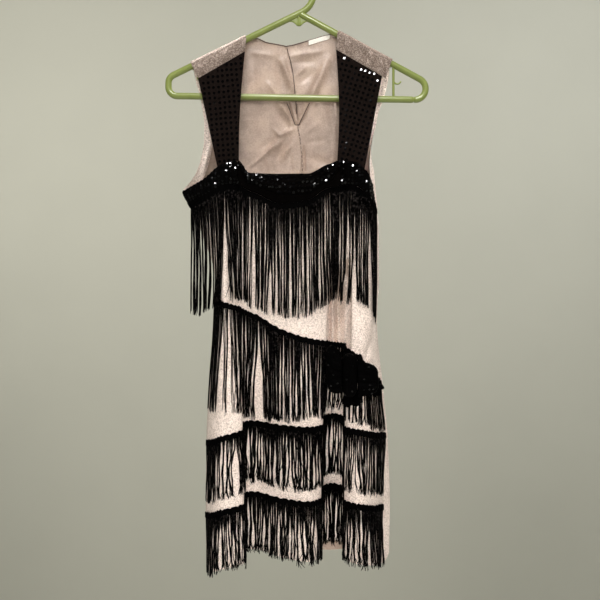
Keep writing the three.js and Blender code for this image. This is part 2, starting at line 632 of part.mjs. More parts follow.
// Points of an arc in the hanger's plane, from one angle to another in degrees.
function arc(centre, radius, from, to, count) {
  return spread(count).map((t) => {
    const angle = rad(mix(from, to, t));
    return new THREE.Vector3(centre[0] + radius * Math.cos(angle), 0,
      centre[1] + radius * Math.sin(angle));
  });
}
function solidOf(geometry) {
  const bare = geometry.index ? geometry.toNonIndexed() : geometry.clone();
  bare.deleteAttribute("normal");
  bare.deleteAttribute("uv");
  const merged = mergeVertices(bare, 1e-4);
  return new wasm.Manifold(new wasm.Mesh({ numProp: 3,
    vertProperties: merged.attributes.position.array,
    triVerts: new Uint32Array(merged.index.array) }));
}
function geometryOf(solid) {
  const mesh = solid.getMesh();
  const geometry = new THREE.BufferGeometry();
  geometry.setAttribute("position", new THREE.BufferAttribute(mesh.vertProperties, 3));
  geometry.setIndex(new THREE.BufferAttribute(mesh.triVerts, 1));
  geometry.computeVertexNormals();
  return geometry;
}

// Corner of an end loop: the arc that turns from the arm into the upright, then into the bar.
function endLoop(side) {
  const left = side === "left";
  const bend = left ? hanger.leftBend : hanger.rightBend;
  const slope = left ? hanger.leftSlope : hanger.rightSlope;
  const endX = left ? hanger.leftEnd : hanger.rightEnd;
  const sign = left ? -1 : 1;
  const upper = [endX - sign * bend * Math.sin(rad(slope)) * 0.2,
    armZ(endX) - bend / Math.cos(rad(slope))];
  const low = [upper[0], apexZ + (left ? hanger.barLeft : hanger.barRight) + bend];
  const start = left ? 90 + slope : 90 - slope;
  const upright = left ? 180 : 0;
  return [...arc(upper, bend, start, upright, 4), ...arc(low, bend, upright, left ? 270 : -90, 6)];
}
function hookPoints() {
  const slope = rad(hanger.leftSlope);
  const start = [hanger.neckStart * Math.cos(slope), apexZ + hanger.neckStart * Math.sin(slope)];
  const neckCentre = [start[0] - hanger.neck * Math.sin(slope), start[1] + hanger.neck * Math.cos(slope)];
  const right = neckCentre[0] + hanger.neck;
  const crownCentre = [right - hanger.crown, neckCentre[1] + hanger.stem];
  return [
    ...arc(neckCentre, hanger.neck, -90 + hanger.leftSlope, 0, 5),
    ...arc(crownCentre, hanger.crown, 0, 180, 12),
    new THREE.Vector3(crownCentre[0] - hanger.crown, 0, crownCentre[1] - hanger.tip),
  ];
}
const leftLoop = endLoop("left");
const rightLoop = endLoop("right");
const barEnd = rightLoop[rightLoop.length - 1];
const short = new THREE.Vector3(barEnd.x - 4, 0, barEnd.z);
let body = solidOf(tubeAlong([...hookPoints().reverse(), ...leftLoop, barEnd], hanger.tube, 12));
const rightArm = [short, ...rightLoop.reverse(), new THREE.Vector3(0, 0, apexZ)];
body = body.add(solidOf(tubeAlong(rightArm, hanger.tube - 0.05, 12)));

const web = new THREE.Shape([
  [-26, -13.5], [-12, -13.5], [-7, -16], [-3, -20], [3, -20], [7, -16], [12, -13.5], [24, -13.5],
  [0, -1]].map(([x, z]) => new THREE.Vector2(x, z)));
const webWall = 2.4;
const webSolid = new THREE.ExtrudeGeometry(web, { depth: webWall, bevelEnabled: false });
webSolid.translate(0, 0, -webWall / 2);
webSolid.rotateX(Math.PI / 2);
webSolid.translate(0, 0, apexZ);
body = body.add(solidOf(webSolid));

for (const sign of [-1, 1]) {
  const x = sign * hanger.strut;
  const bar = apexZ + mix(hanger.barLeft, hanger.barRight, (x - hanger.leftEnd)
    / (hanger.rightEnd - hanger.leftEnd));
  const strut = [new THREE.Vector3(x, 0, armZ(x)), new THREE.Vector3(x, 0, bar)];
  body = body.add(solidOf(tubeAlong(strut, hanger.strutRadius, 8)));
  const peg = arc([x + sign * 6, mix(armZ(x), bar, 0.45)], 6, sign > 0 ? 180 : 0,
    sign > 0 ? 350 : -170, 6);
  body = body.add(solidOf(tubeAlong(peg, 1.5, 8)));
}
add("hanger", geometryOf(body), "plastic");

export default group;
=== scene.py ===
import math
import bpy
import numpy as np
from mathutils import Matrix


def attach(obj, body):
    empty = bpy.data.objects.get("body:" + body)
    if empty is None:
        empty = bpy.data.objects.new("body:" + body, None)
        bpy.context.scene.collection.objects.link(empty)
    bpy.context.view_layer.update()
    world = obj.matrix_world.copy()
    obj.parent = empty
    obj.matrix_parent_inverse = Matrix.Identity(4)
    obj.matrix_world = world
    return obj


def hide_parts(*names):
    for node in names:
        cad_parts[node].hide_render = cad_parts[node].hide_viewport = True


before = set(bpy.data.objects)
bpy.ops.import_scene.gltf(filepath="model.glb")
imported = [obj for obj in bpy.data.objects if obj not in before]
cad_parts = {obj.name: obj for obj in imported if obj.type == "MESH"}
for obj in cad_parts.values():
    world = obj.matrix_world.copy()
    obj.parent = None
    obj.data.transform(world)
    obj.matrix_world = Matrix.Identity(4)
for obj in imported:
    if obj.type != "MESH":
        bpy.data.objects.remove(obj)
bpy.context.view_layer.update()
mm = 0.001  # every length below is in millimetres until a mesh is made
print("frame loaded")


# curves

def mix(a, b, t):
    return a + (b - a) * t


def ease(t):
    t = np.clip(t, 0, 1)
    return t * t * (3 - 2 * t)


def bell(distance, width):  # 1 in the middle, falling off either side
    return np.exp(-((distance / width) ** 2))


def hermite(a, b, slopeA, slopeB, span, t):
    t2, t3 = t * t, t * t * t
    return (a * (2 * t3 - 3 * t2 + 1) + b * (3 * t2 - 2 * t3)
            + span * (slopeA * (t3 - 2 * t2 + t) + slopeB * (t3 - t2)))


def calmCurve(knots, values):
    # a cubic through the values that never swings past them between two knots
    order = np.argsort(knots)
    k, v = np.asarray(knots, float)[order], np.asarray(values, float)[order]
    secant = np.diff(v) / np.diff(k)
    slopes = np.concatenate([secant[:1], np.zeros(len(k) - 2), secant[-1:]])
    before, after = secant[:-1], secant[1:]
    same = before * after > 0
    slopes[1:-1][same] = 2 * before[same] * after[same] / (before[same] + after[same])

    def read(at):
        at = np.clip(at, k[0], k[-1])
        i = np.clip(np.searchsorted(k, at, side="right") - 1, 0, len(k) - 2)
        span = k[i + 1] - k[i]
        return hermite(v[i], v[i + 1], slopes[i], slopes[i + 1], span, (at - k[i]) / span)
    return read


def runAlong(points, axis=0):
    # the length run along each line of points, from 0 at its start
    steps = np.linalg.norm(np.diff(points, axis=axis), axis=-1)
    return np.concatenate([np.zeros_like(steps.take([0], axis)), np.cumsum(steps, axis=axis)], axis)


def evenPath(points, step):
    # the same path with points every `step` along it
    run = runAlong(points)
    at = np.linspace(0, run[-1], int(run[-1] / step) + 1)
    return np.stack([np.interp(at, run, points[:, k]) for k in range(3)], -1)


def creaseRelief(rows):
    # each row is a line from (x, z) to (x, z) with its width and its height; a trough is negative
    def relief(x, z):
        height = np.zeros(np.broadcast(x, z).shape)
        for x0, z0, x1, z1, width, rise in rows:
            along = ((x - x0) * (x1 - x0) + (z - z0) * (z1 - z0)) / ((x1 - x0) ** 2 + (z1 - z0) ** 2)
            inside = np.clip(along, 0, 1)
            away = np.hypot(x - mix(x0, x1, inside), z - mix(z0, z1, inside))
            height = height + rise * bell(away, width) * np.sin(np.pi * np.clip(inside, 0.04, 0.96)) ** 0.5
        return height
    return relief


# the dress as it hangs

dress = {
    "cloth": 1.2,  # wall
    "layerGap": 0.9,  # between a panel and what is sewn on it
    "seamGap": 0.3,
    "tapeHeight": 9,
    "bustZ": -345, "hemZ": -940,  # heights between which the folds open
    "hemLevel": -908, "upperTape": -703, "lowerTape": -816,
    "bustFringe": 171, "upperFringe": 98, "lowerFringe": 96,
    "looseEnd": 2.4,  # the bust fringe hangs plumb beside the waist up to this fold
}
foldColumns = ("bustX", "bustOut", "hemX", "hemOut", "starts",
               "drop", "bandTop", "bandLow", "hipTape", "hipEnd")
unset = float("nan")  # a place that is worked out from its neighbours
foldRows = {
    "leftSeam": (unset, 0, 0, 0, -400, 35, -344, -371, -512, -689),
    "leftSide": (unset, 0, 0, 0, -400, 30, -327, -361, -514, -691),
    "leftCrease": (-115, 24, -120, 50, -380, 23, -301, -346, -519, -692),
    "leftRidge": (-99, 22, -86, 48, -500, 14, -297.5, -345, -526, -692),
    "leftTuck": (-93, 21, -97, 12, -500, 9, -299, -347, -528, -700),
    "centreLeft": (-78, 22, -77, 6, -500, 4, -317, -355, -535, -704),
    "centreMid": (-27, 27, -23, 42, -420, 7, -319.5, -374.5, -562, -704),
    "centreRidge": (13, 26, 17, 58, -450, 8, -319, -369.5, -575, -700),
    "ridgeEdge": (48, 22, 31, 44, -470, 6, -303, -349.5, -580, -696),
    "recessLeft": (54, 20.5, 26, 2, -470, 0, -300, -348, -581, -692),
    "recess": (63, 20, 52, -8, -470, -6, -297.5, -346.5, -583, -690),
    "recessRight": (71, 19.5, 83, 2, -470, 2, -297, -346, -585, -696),
    "rightEdge": (77, 20, 72, 45, -470, 9, -297.5, -345.5, -589, -704),
    "rightMid": (91, 21, 94, 60, -460, 12, -300, -347, -602, -706),
    "rightSide": (unset, 0, 0, 0, -400, 18, -311, -357, -624, -719),
    "rightSeam": (unset, 0, 0, 0, -400, 23, -333, -380, -643, -725),
}
fold = dict(zip(foldColumns, np.array(list(foldRows.values()), float).T))
lastFold = len(foldRows) - 1
foldCurve = {c: calmCurve(range(lastFold + 1), fold[c]) for c in foldColumns[5:]}
sideBulge = {"left": 6, "right": 8}

sideRows = [  # height, left seam, left turned edge, right seam, right turned edge
    (-290, -188, -172, 112, 120), (-344, -183, -170, 115, 122), (-373, -168, -163, 120, 125),
    (-420, -150, -148, 121, 127), (-486, -131, -133, 121, 127), (-548, -133, -135, 119, 124),
    (-660, -140, -143, 128, 134), (-735, -143, -147, 134, 141), (-845, -144, -148, 130, 145),
    (-945, -143, -147, 134, 143),
]
sideTable = np.array(sideRows, float)
sideX = {name: calmCurve(sideTable[:, 0], sideTable[:, i + 1])
         for i, name in enumerate(("leftSeam", "leftTurn", "rightSeam", "rightTurn"))}
sideOut = {"leftSeam": (5, 20), "rightSeam": (10, 15), "leftTurn": (-6, -6), "rightTurn": (-2, -7)}


def share(z):  # 0 at the bust, 1 at the hem
    return np.clip((dress["bustZ"] - z) / (dress["bustZ"] - dress["hemZ"]), 0, 1)


def sidePlace(name, z):
    return np.stack([sideX[name](z), mix(*sideOut[name], share(z))], -1)


def frontPlaces(z):
    # where each fold line stands at height z, as x and distance out towards the viewer
    starts = fold["starts"][:, None]
    grown = 1 - (1 - np.clip((starts - z) / (starts - dress["hemZ"]), 0, 1)) ** 2
    places = np.stack([mix(fold["bustX"][:, None], fold["hemX"][:, None], grown),
                       mix(fold["bustOut"][:, None], fold["hemOut"][:, None], grown)], -1)
    places[0], places[-1] = sidePlace("leftSeam", z), sidePlace("rightSeam", z)
    places[1] = (places[0] + places[2]) / 2 + [0, sideBulge["left"]]
    places[-2] = (places[-3] + places[-1]) / 2 + [0, sideBulge["right"]]
    return places


def onLine(places, s, outward):
    # a smooth line through places, read at s counted in places, with the outward normal
    last = len(places) - 1
    i = np.clip(np.floor(s).astype(int), 0, last - 1)
    t = (s - i)[:, None]
    step = np.diff(places, axis=0)
    gap = np.maximum(0.5, np.hypot(step[..., 0], step[..., 1]))[..., None]
    rate = step / gap
    slope = np.concatenate([rate[:1], (rate[1:] * gap[:-1] + rate[:-1] * gap[1:])
                            / (gap[:-1] + gap[1:]), rate[-1:]])
    n = np.arange(len(s))
    a, b, slopeA, slopeB, span = places[i, n], places[i + 1, n], slope[i, n], slope[i + 1, n], gap[i, n]
    at = hermite(a, b, slopeA, slopeB, span, t)
    run = (6 * t * t - 6 * t) * (a - b) + span * (slopeA * (3 * t * t - 4 * t + 1)
                                                  + slopeB * (3 * t * t - 2 * t))
    size = np.hypot(run[:, 0], run[:, 1]) * outward
    return at[:, 0], at[:, 1], -run[:, 1] / size, run[:, 0] / size


def frontAt(s, z, off=0.0, relief=None, forward=0.0):
    # the front's inner face at fold s and height z, moved `off` along its normal and
    # `forward` straight towards the viewer; near the side seams the normal turns sideways
    s, z, off, forward = (np.array(a, float) for a in np.broadcast_arrays(s, z, off, forward))
    x, out, nx, nOut = onLine(frontPlaces(z.ravel()), s.ravel(), 1)
    x, out, nx, nOut = (a.reshape(s.shape) for a in (x, out, nx, nOut))
    toSeam = np.clip(1 - np.minimum(s, lastFold - s) / 0.5, 0, 1)
    nx = mix(nx, np.where(s < lastFold / 2, -1, 1), toSeam)
    nOut = mix(nOut, 0, toSeam)
    if relief:
        off = off + relief(x, z) * (1 - toSeam)
    return np.stack([x + nx * off, -(out + nOut * off + forward), z], -1)


sewnOn = dress["cloth"] + dress["layerGap"]


def bandLow(s):
    return foldCurve["bandLow"](s)


def bandEdge(s):
    return bandLow(s) + dress["tapeHeight"]


def hemAt(s):
    return dress["hemLevel"] - foldCurve["drop"](s)


def upperTop(s):
    return dress["upperTape"] - foldCurve["drop"](s)


def lowerTop(s):
    return dress["lowerTape"] - foldCurve["drop"](s)


# meshes

def gridQuads(rows, cols, closed=False):
    r = np.arange(rows - 1)[:, None]
    c = np.arange(cols if closed else cols - 1)[None, :]
    a, b = r * cols + c, r * cols + (c + 1) % cols
    return np.stack([a, b, b + cols, a + cols], -1).reshape(-1, 4)


def insideOf(a, b, c):
    # six times the volume between the origin and these triangles
    return np.einsum("ij,ij->", a, np.cross(b, c))


def makePiece(name, points, quads, tris, materials, uv=None, slots=None, sharp=40):
    # one mesh object from arrays: points in millimetres, quads, triangles and a material for each face
    quads, tris = np.asarray(quads, int).reshape(-1, 4), np.asarray(tris, int).reshape(-1, 3)
    a, b, c, d = (points[quads[:, k]] for k in range(4))
    volume = insideOf(a, b, c) + insideOf(a, c, d) + insideOf(*(points[tris[:, k]] for k in range(3)))
    if volume < 0:  # faces point outwards
        quads, tris = quads[:, ::-1], tris[:, ::-1]
    corners = np.concatenate([quads.ravel(), tris.ravel()]).astype(np.int32)
    sizes = np.concatenate([np.full(len(quads), 4), np.full(len(tris), 3)])
    mesh = bpy.data.meshes.new(name)
    mesh.vertices.add(len(points))
    mesh.vertices.foreach_set("co", (points * mm).astype(np.float32).ravel())
    mesh.loops.add(len(corners))
    mesh.loops.foreach_set("vertex_index", corners)
    mesh.polygons.add(len(sizes))
    mesh.polygons.foreach_set("loop_start", np.concatenate([[0], np.cumsum(sizes)[:-1]]).astype(np.int32))
    mesh.polygons.foreach_set("use_smooth", np.ones(len(sizes), bool))
    if slots is not None:
        mesh.polygons.foreach_set("material_index", np.asarray(slots, np.int32))
    if uv is not None:
        layer = mesh.uv_layers.new(name="UVMap")
        layer.data.foreach_set("uv", (uv[corners] * mm).astype(np.float32).ravel())
    mesh.update(calc_edges=True)
    mesh.set_sharp_from_angle(angle=math.radians(sharp))
    for material in materials:
        mesh.materials.append(material)
    piece = bpy.data.objects.new(name, mesh)
    bpy.context.scene.collection.objects.link(piece)
    return piece


def shellPiece(name, face, wall, materials):
    # a closed thin wall between face(0) and face(wall), both grids of points: the first material
    # is outside and on the rim, the last one inside
    inner, outer = face(0.0), face(wall)
    rows, cols = outer.shape[:2]
    count = rows * cols
    index = np.arange(count).reshape(rows, cols)
    edge = np.concatenate([index[0, :-1], index[:-1, -1], index[-1, :0:-1], index[:0:-1, 0]])
    onward = np.roll(edge, -1)
    faces = gridQuads(rows, cols)
    rim = np.stack([onward, edge, edge + count, onward + count], -1)
    uv = np.stack([runAlong(outer, 1), runAlong(outer, 0)], -1).reshape(-1, 2)
    slots = np.repeat([0, len(materials) - 1, 0], [len(faces), len(faces), len(rim)])
    return makePiece(name, np.concatenate([outer.reshape(-1, 3), inner.reshape(-1, 3)]),
                     np.concatenate([faces, faces[:, ::-1] + count, rim]), [], materials,
                     np.concatenate([uv, uv]), slots)


def tubeArrays(paths, radius, sides):
    # round tubes along many paths at once: paths is (tubes, points, 3), radius is per point.
    # Rings are square to the path and start from the depth axis, and each end is capped.
    count, steps = paths.shape[:2]
    along = np.gradient(paths, axis=1)
    along /= np.linalg.norm(along, axis=2, keepdims=True)
    first = np.cross(along, [0.0, 1.0, 0.0])
    first /= np.maximum(1e-9, np.linalg.norm(first, axis=2, keepdims=True))
    second = np.cross(along, first)
    angle = 2 * np.pi * np.arange(sides) / sides
    radius = np.broadcast_to(radius, (count, steps))[..., None, None]
    rings = (paths[:, :, None] + radius * (np.cos(angle)[:, None] * first[:, :, None]
                                           + np.sin(angle)[:, None] * second[:, :, None]))
    start = (np.arange(count) * steps * sides)[:, None, None]
    quads = (gridQuads(steps, sides, True)[None] + start).reshape(-1, 4)
    fan = np.stack([np.zeros(sides - 2, int), np.arange(1, sides - 1), np.arange(2, sides)], -1)
    lastRing = (steps - 1) * sides
    tris = np.concatenate([fan[None] + start, fan[None, :, ::-1] + start + lastRing]).reshape(-1, 3)
    uv = np.stack(np.broadcast_arrays(np.arange(sides) * 1.0, runAlong(paths, 1)[..., None]), -1)
    return rings.reshape(-1, 3), quads, tris[:, ::-1], uv.reshape(-1, 2)


def joined(parts):
    # several (points, quads, tris, uv) as one
    points, quads, tris, uv, start = [], [], [], [], 0
    for p, q, t, u in parts:
        points.append(p)
        quads.append(q + start)
        tris.append(t + start)
        uv.append(u)
        start += len(p)
    return tuple(np.concatenate(a) for a in (points, quads, tris, uv))


def hungPiece(piece, slot, *nodes):
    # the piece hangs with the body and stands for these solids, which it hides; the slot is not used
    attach(piece, "root")
    if nodes:
        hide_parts(*nodes)
    return piece


def clothPiece(node, slot, face, materials, wall=None):
    # the dressed cloth of one solid
    shell = shellPiece(node + "_cloth", face, wall or dress["cloth"], materials)
    return hungPiece(shell, slot, node)


def smallPiece(name, slot, parts, material, *nodes, sharp=40):
    # many small things of one material as one mesh
    points, quads, tris, uv = parts
    return hungPiece(makePiece(name, points, quads, tris, [material], uv, sharp=sharp), slot, *nodes)


# finishes

def addNode(tree, kind, links=None, **settings):
    # one node; links names an input and the socket or value that feeds it
    made = tree.nodes.new(kind)
    for key, value in settings.items():
        setattr(made, key, value)
    for key, value in (links or {}).items():
        socket = made.inputs[key]
        if isinstance(value, bpy.types.NodeSocket):
            tree.links.new(value, socket)
        else:
            socket.default_value = value
    return made


def rampNode(tree, factor, stops):
    ramp = addNode(tree, "ShaderNodeValToRGB", {"Fac": factor})
    elements = ramp.color_ramp.elements
    while len(elements) < len(stops):
        elements.new(0.5)
    for element, (place, colour) in zip(elements, stops):
        element.position = place
        element.color = (*colour, 1)
    return ramp.outputs["Color"]


def newGroup(name, inputs, outputs):
    tree = bpy.data.node_groups.new(name, "ShaderNodeTree")
    for label, kind, value in inputs:
        socket = tree.interface.new_socket(name=label, in_out="INPUT", socket_type=kind)
        if value is not None:
            socket.default_value = value
    for label, kind in outputs:
        tree.interface.new_socket(name=label, in_out="OUTPUT", socket_type=kind)
    return tree, tree.nodes.new("NodeGroupInput").outputs, tree.nodes.new("NodeGroupOutput").inputs


def mathNode(tree, operation, a, b=0.5, c=0.5, clamp=False):
    made = addNode(tree, "ShaderNodeMath", {0: a, 1: b, 2: c}, operation=operation, use_clamp=clamp)
    return made.outputs[0]


def noiseNode(tree, where, scale, detail, roughness=0.5):
    links = {"Vector": where, "Scale": scale, "Detail": detail, "Roughness": roughness}
    return addNode(tree, "ShaderNodeTexNoise", links).outputs["Fac"]


def objectPlace(tree):
    return addNode(tree, "ShaderNodeTexCoord").outputs["Object"]


def opaque(colour):
    return (*colour, 1)


def mixColour(tree, factor, a, b, blend="MIX"):
    made = addNode(tree, "ShaderNodeMix", data_type="RGBA", blend_type=blend)
    for socket, value in zip((made.inputs[0], made.inputs[6], made.inputs[7]), (factor, a, b)):
        if isinstance(value, bpy.types.NodeSocket):
            tree.links.new(value, socket)
        else:
            socket.default_value = value
    return made.outputs[2]


def speckleGroup():
    # crushed foil on knit: bright flakes with small dark gaps, mottled in soft patches
    tree, given, out = newGroup("crushedFoil", [
        ("Flake", "NodeSocketColor", (0.8, 0.75, 0.7, 1)), ("Gap", "NodeSocketColor", (0.3, 0.25, 0.22, 1)),
        ("Flakes Per Metre", "NodeSocketFloat", 420.0), ("Gap Share", "NodeSocketFloat", 0.4),
    ], [("Color", "NodeSocketColor"), ("Shine", "NodeSocketFloat"), ("Height", "NodeSocketFloat")])
    where, scale = objectPlace(tree), given["Flakes Per Metre"]
    grain = noiseNode(tree, where, scale, 6.0, 0.8)
    fineScale = mathNode(tree, "MULTIPLY", scale, 2.6)
    fine = addNode(tree, "ShaderNodeTexVoronoi", {"Vector": where, "Scale": fineScale}).outputs["Distance"]
    patch = noiseNode(tree, where, 26.0, 5.0)
    unevenness = mathNode(tree, "MULTIPLY", mathNode(tree, "SUBTRACT", patch, 0.5), 0.1)
    level = mathNode(tree, "ADD", grain, unevenness)
    mask = mathNode(tree, "MULTIPLY", mathNode(tree, "SUBTRACT", level, given["Gap Share"]), 7.0, clamp=True)
    tint = mixColour(tree, patch, (0.93, 0.90, 0.91, 1), (1.03, 1.01, 0.97, 1))
    flake = mixColour(tree, 1.0, given["Flake"], tint, "MULTIPLY")
    bright = mixColour(tree, mathNode(tree, "MULTIPLY", fine, 0.35), flake, (1, 0.97, 0.93, 1))
    tree.links.new(mixColour(tree, mask, given["Gap"], bright), out["Color"])
    tree.links.new(mask, out["Shine"])
    height = mathNode(tree, "ADD", mathNode(tree, "MULTIPLY", mask, 0.5),
                      mathNode(tree, "MULTIPLY", fine, 0.5))
    tree.links.new(height, out["Height"])
    return tree


def weaveGroup():
    # over-and-under threads along the piece's own lengths, with uneven yarn
    tree, given, out = newGroup("plainWeave", [
        ("Colour", "NodeSocketColor", (0.5, 0.5, 0.5, 1)), ("Shade", "NodeSocketColor", (0.3, 0.3, 0.3, 1)),
        ("Threads Per Metre", "NodeSocketFloat", 900.0), ("Mottle", "NodeSocketFloat", 0.3),
        ("Patches Per Metre", "NodeSocketFloat", 35.0),
    ], [("Color", "NodeSocketColor"), ("Height", "NodeSocketFloat")])
    where = addNode(tree, "ShaderNodeTexCoord")
    cell = addNode(tree, "ShaderNodeSeparateXYZ", {0: where.outputs["UV"]})
    turns = mathNode(tree, "MULTIPLY", given["Threads Per Metre"], math.pi)
    warp = mathNode(tree, "SINE", mathNode(tree, "MULTIPLY", cell.outputs[0], turns))
    weft = mathNode(tree, "SINE", mathNode(tree, "MULTIPLY", cell.outputs[1], turns))
    over = mathNode(tree, "MULTIPLY_ADD", mathNode(tree, "MULTIPLY", warp, weft))
    cloud = noiseNode(tree, where.outputs["Object"], given["Patches Per Metre"], 4.0)
    even = mathNode(tree, "MULTIPLY", over, mathNode(tree, "SUBTRACT", 1.0, given["Mottle"]))
    blend = mathNode(tree, "ADD", even, mathNode(tree, "MULTIPLY", cloud, given["Mottle"]), clamp=True)
    tree.links.new(mixColour(tree, blend, given["Shade"], given["Colour"]), out["Color"])
    tree.links.new(over, out["Height"])
    return tree


groups = {"crushedFoil": speckleGroup(), "plainWeave": weaveGroup()}


def newMaterial(name, roughness, metallic=0.0, **sockets):
    material = bpy.data.materials.new(name)
    material.use_nodes = True
    shader = material.node_tree.nodes["Principled BSDF"]
    shader.inputs["Roughness"].default_value = roughness
    shader.inputs["Metallic"].default_value = metallic
    for key, value in sockets.items():
        shader.inputs[key.replace("_", " ")].default_value = value
    return material, material.node_tree, shader


def placeGroup(tree, name, values):
    made = tree.nodes.new("ShaderNodeGroup")
    made.node_tree = groups[name]
    for key, value in values.items():
        made.inputs[key].default_value = value
    return made.outputs


def addBump(tree, shader, height, strength, distance):
    links = {"Height": height, "Strength": strength, "Distance": distance * mm}
    tree.links.new(addNode(tree, "ShaderNodeBump", links).outputs["Normal"], shader.inputs["Normal"])


def foilMaterial(name, flake, gap, gapShare, flakes=420):
    material, tree, shader = newMaterial(name, 0.5, Specular_IOR_Level=0.3)
    foil = placeGroup(tree, "crushedFoil", {"Flake": opaque(flake), "Gap": opaque(gap), "Gap Share": gapShare,
                                            "Flakes Per Metre": flakes})
    tree.links.new(foil["Color"], shader.inputs["Base Color"])
    tree.links.new(mathNode(tree, "MULTIPLY", foil["Shine"], 0.12), shader.inputs["Metallic"])
    tree.links.new(mathNode(tree, "MULTIPLY_ADD", foil["Shine"], -0.25, 0.7), shader.inputs["Roughness"])
    addBump(tree, shader, foil["Height"], 0.35, 0.4)
    return material


def clothMaterial(name, colour, shade, roughness, threads, mottle, bump, patches=35, **sockets):
    material, tree, shader = newMaterial(name, roughness, **sockets)
    cloth = placeGroup(tree, "plainWeave", {
        "Colour": opaque(colour), "Shade": opaque(shade), "Mottle": mottle,
        "Threads Per Metre": threads, "Patches Per Metre": patches})
    tree.links.new(cloth["Color"], shader.inputs["Base Color"])
    addBump(tree, shader, cloth["Height"], bump, 0.3)
    return material


def satinMaterial(bright, dull):
    # the smooth side of the knit: soft cloudy patches over a very fine weave; the patches are smoother and
    # are painted lighter, which is painted sheen
    material, tree, shader = newMaterial("satinWrongSide", 0.4, Specular_IOR_Level=0.5)
    where = objectPlace(tree)
    cloud = noiseNode(tree, where, 34.0, 5.0, 0.6)
    patch = rampNode(tree, cloud, [(0.36, (0, 0, 0)), (0.62, (1, 1, 1))])
    weave = placeGroup(tree, "plainWeave", {"Colour": (1, 1, 1, 1), "Shade": (0.86, 0.85, 0.84, 1),
                                            "Threads Per Metre": 1300, "Mottle": 0.5})
    speck = mathNode(tree, "SUBTRACT", noiseNode(tree, where, 420.0, 3.0), 0.5)
    speck = mathNode(tree, "MULTIPLY", speck, 2.2)
    mottled = mathNode(tree, "ADD", patch, speck, clamp=True)
    # the lighter colour of the smooth patches is painted sheen
    blend = mixColour(tree, mottled, opaque(dull), opaque(bright))
    tree.links.new(mixColour(tree, 1.0, blend, weave["Color"], "MULTIPLY"), shader.inputs["Base Color"])
    smoother = mathNode(tree, "MULTIPLY", patch, 0.14)
    tree.links.new(mathNode(tree, "SUBTRACT", 0.46, smoother), shader.inputs["Roughness"])
    addBump(tree, shader, mathNode(tree, "ADD", weave["Height"], cloud), 0.12, 0.5)
    return material


def sequinMaterial():
    # glossy black with an uneven film, so no two catch the light alike
    material, tree, shader = newMaterial("blackSequin", 0.12, Specular_IOR_Level=0.3)
    film = noiseNode(tree, objectPlace(tree), 160.0, 2.0)
    colour = rampNode(tree, film, [(0.3, (0.0006, 0.0006, 0.0006)), (0.7, (0.002, 0.0018, 0.0018))])
    tree.links.new(colour, shader.inputs["Base Color"])
    tree.links.new(mathNode(tree, "MULTIPLY_ADD", film, 0.14, 0.07), shader.inputs["Roughness"])
    addBump(tree, shader, film, 0.2, 0.2)
    return material


def threadMaterial():
    # twisted rayon: fine slanting plies along each thread, some threads a little browner or greyer; the
    # lighter patches are partly painted sheen
    material, tree, shader = newMaterial("rayonThread", 0.5, Specular_IOR_Level=0.03)
    where = addNode(tree, "ShaderNodeTexCoord")
    cell = addNode(tree, "ShaderNodeSeparateXYZ", {0: where.outputs["UV"]})
    twist = mathNode(tree, "ADD", mathNode(tree, "MULTIPLY", cell.outputs[0], 2100.0),
                     mathNode(tree, "MULTIPLY", cell.outputs[1], 4200.0))
    ply = mathNode(tree, "SINE", twist)
    patch = noiseNode(tree, where.outputs["Object"], 300.0, 2.0)
    yarnTonesAndSheen = [(0.35, (0.0003, 0.0003, 0.0003)), (0.53, (0.001, 0.0009, 0.0009)),
              (0.7, (0.034, 0.028, 0.0265))]
    tree.links.new(rampNode(tree, patch, yarnTonesAndSheen), shader.inputs["Base Color"])
    addBump(tree, shader, ply, 0.25, 0.15)
    return material


def plasticMaterial():
    material, tree, shader = newMaterial("greenPlastic", 0.3, Coat_Weight=0.35, Coat_Roughness=0.16)
    where = objectPlace(tree)
    cloud, scuff = noiseNode(tree, where, 30.0, 5.0), noiseNode(tree, where, 400.0, 2.0)
    colour = rampNode(tree, cloud, [(0.3, (0.25, 0.30, 0.07)), (0.7, (0.32, 0.37, 0.105))])
    tree.links.new(colour, shader.inputs["Base Color"])
    tree.links.new(mathNode(tree, "MULTIPLY_ADD", scuff, 0.25, 0.2), shader.inputs["Roughness"])
    addBump(tree, shader, cloud, 0.1, 0.3)
    return material


foil = foilMaterial("foilKnit", (0.95, 0.805, 0.705), (0.44, 0.335, 0.27), 0.40, 520)
# the yokes use the front's foil painted darker: painted shade on the same cloth
yokeFoil = foilMaterial("yokeFoil", (0.35, 0.248, 0.187), (0.165, 0.115, 0.088), 0.46, 480)
wrongSide = satinMaterial((0.51, 0.38, 0.298), (0.365, 0.267, 0.211))
# woven finishes: colour, shade between threads, roughness, threads a metre, mottle, bump, patches a metre
knitGround = clothMaterial("sequinGround", (0.021, 0.0138, 0.0116), (0.0004, 0.0003, 0.0002),
                           0.8, 1100, 0.8, 0.6, 330, Specular_IOR_Level=0.05)
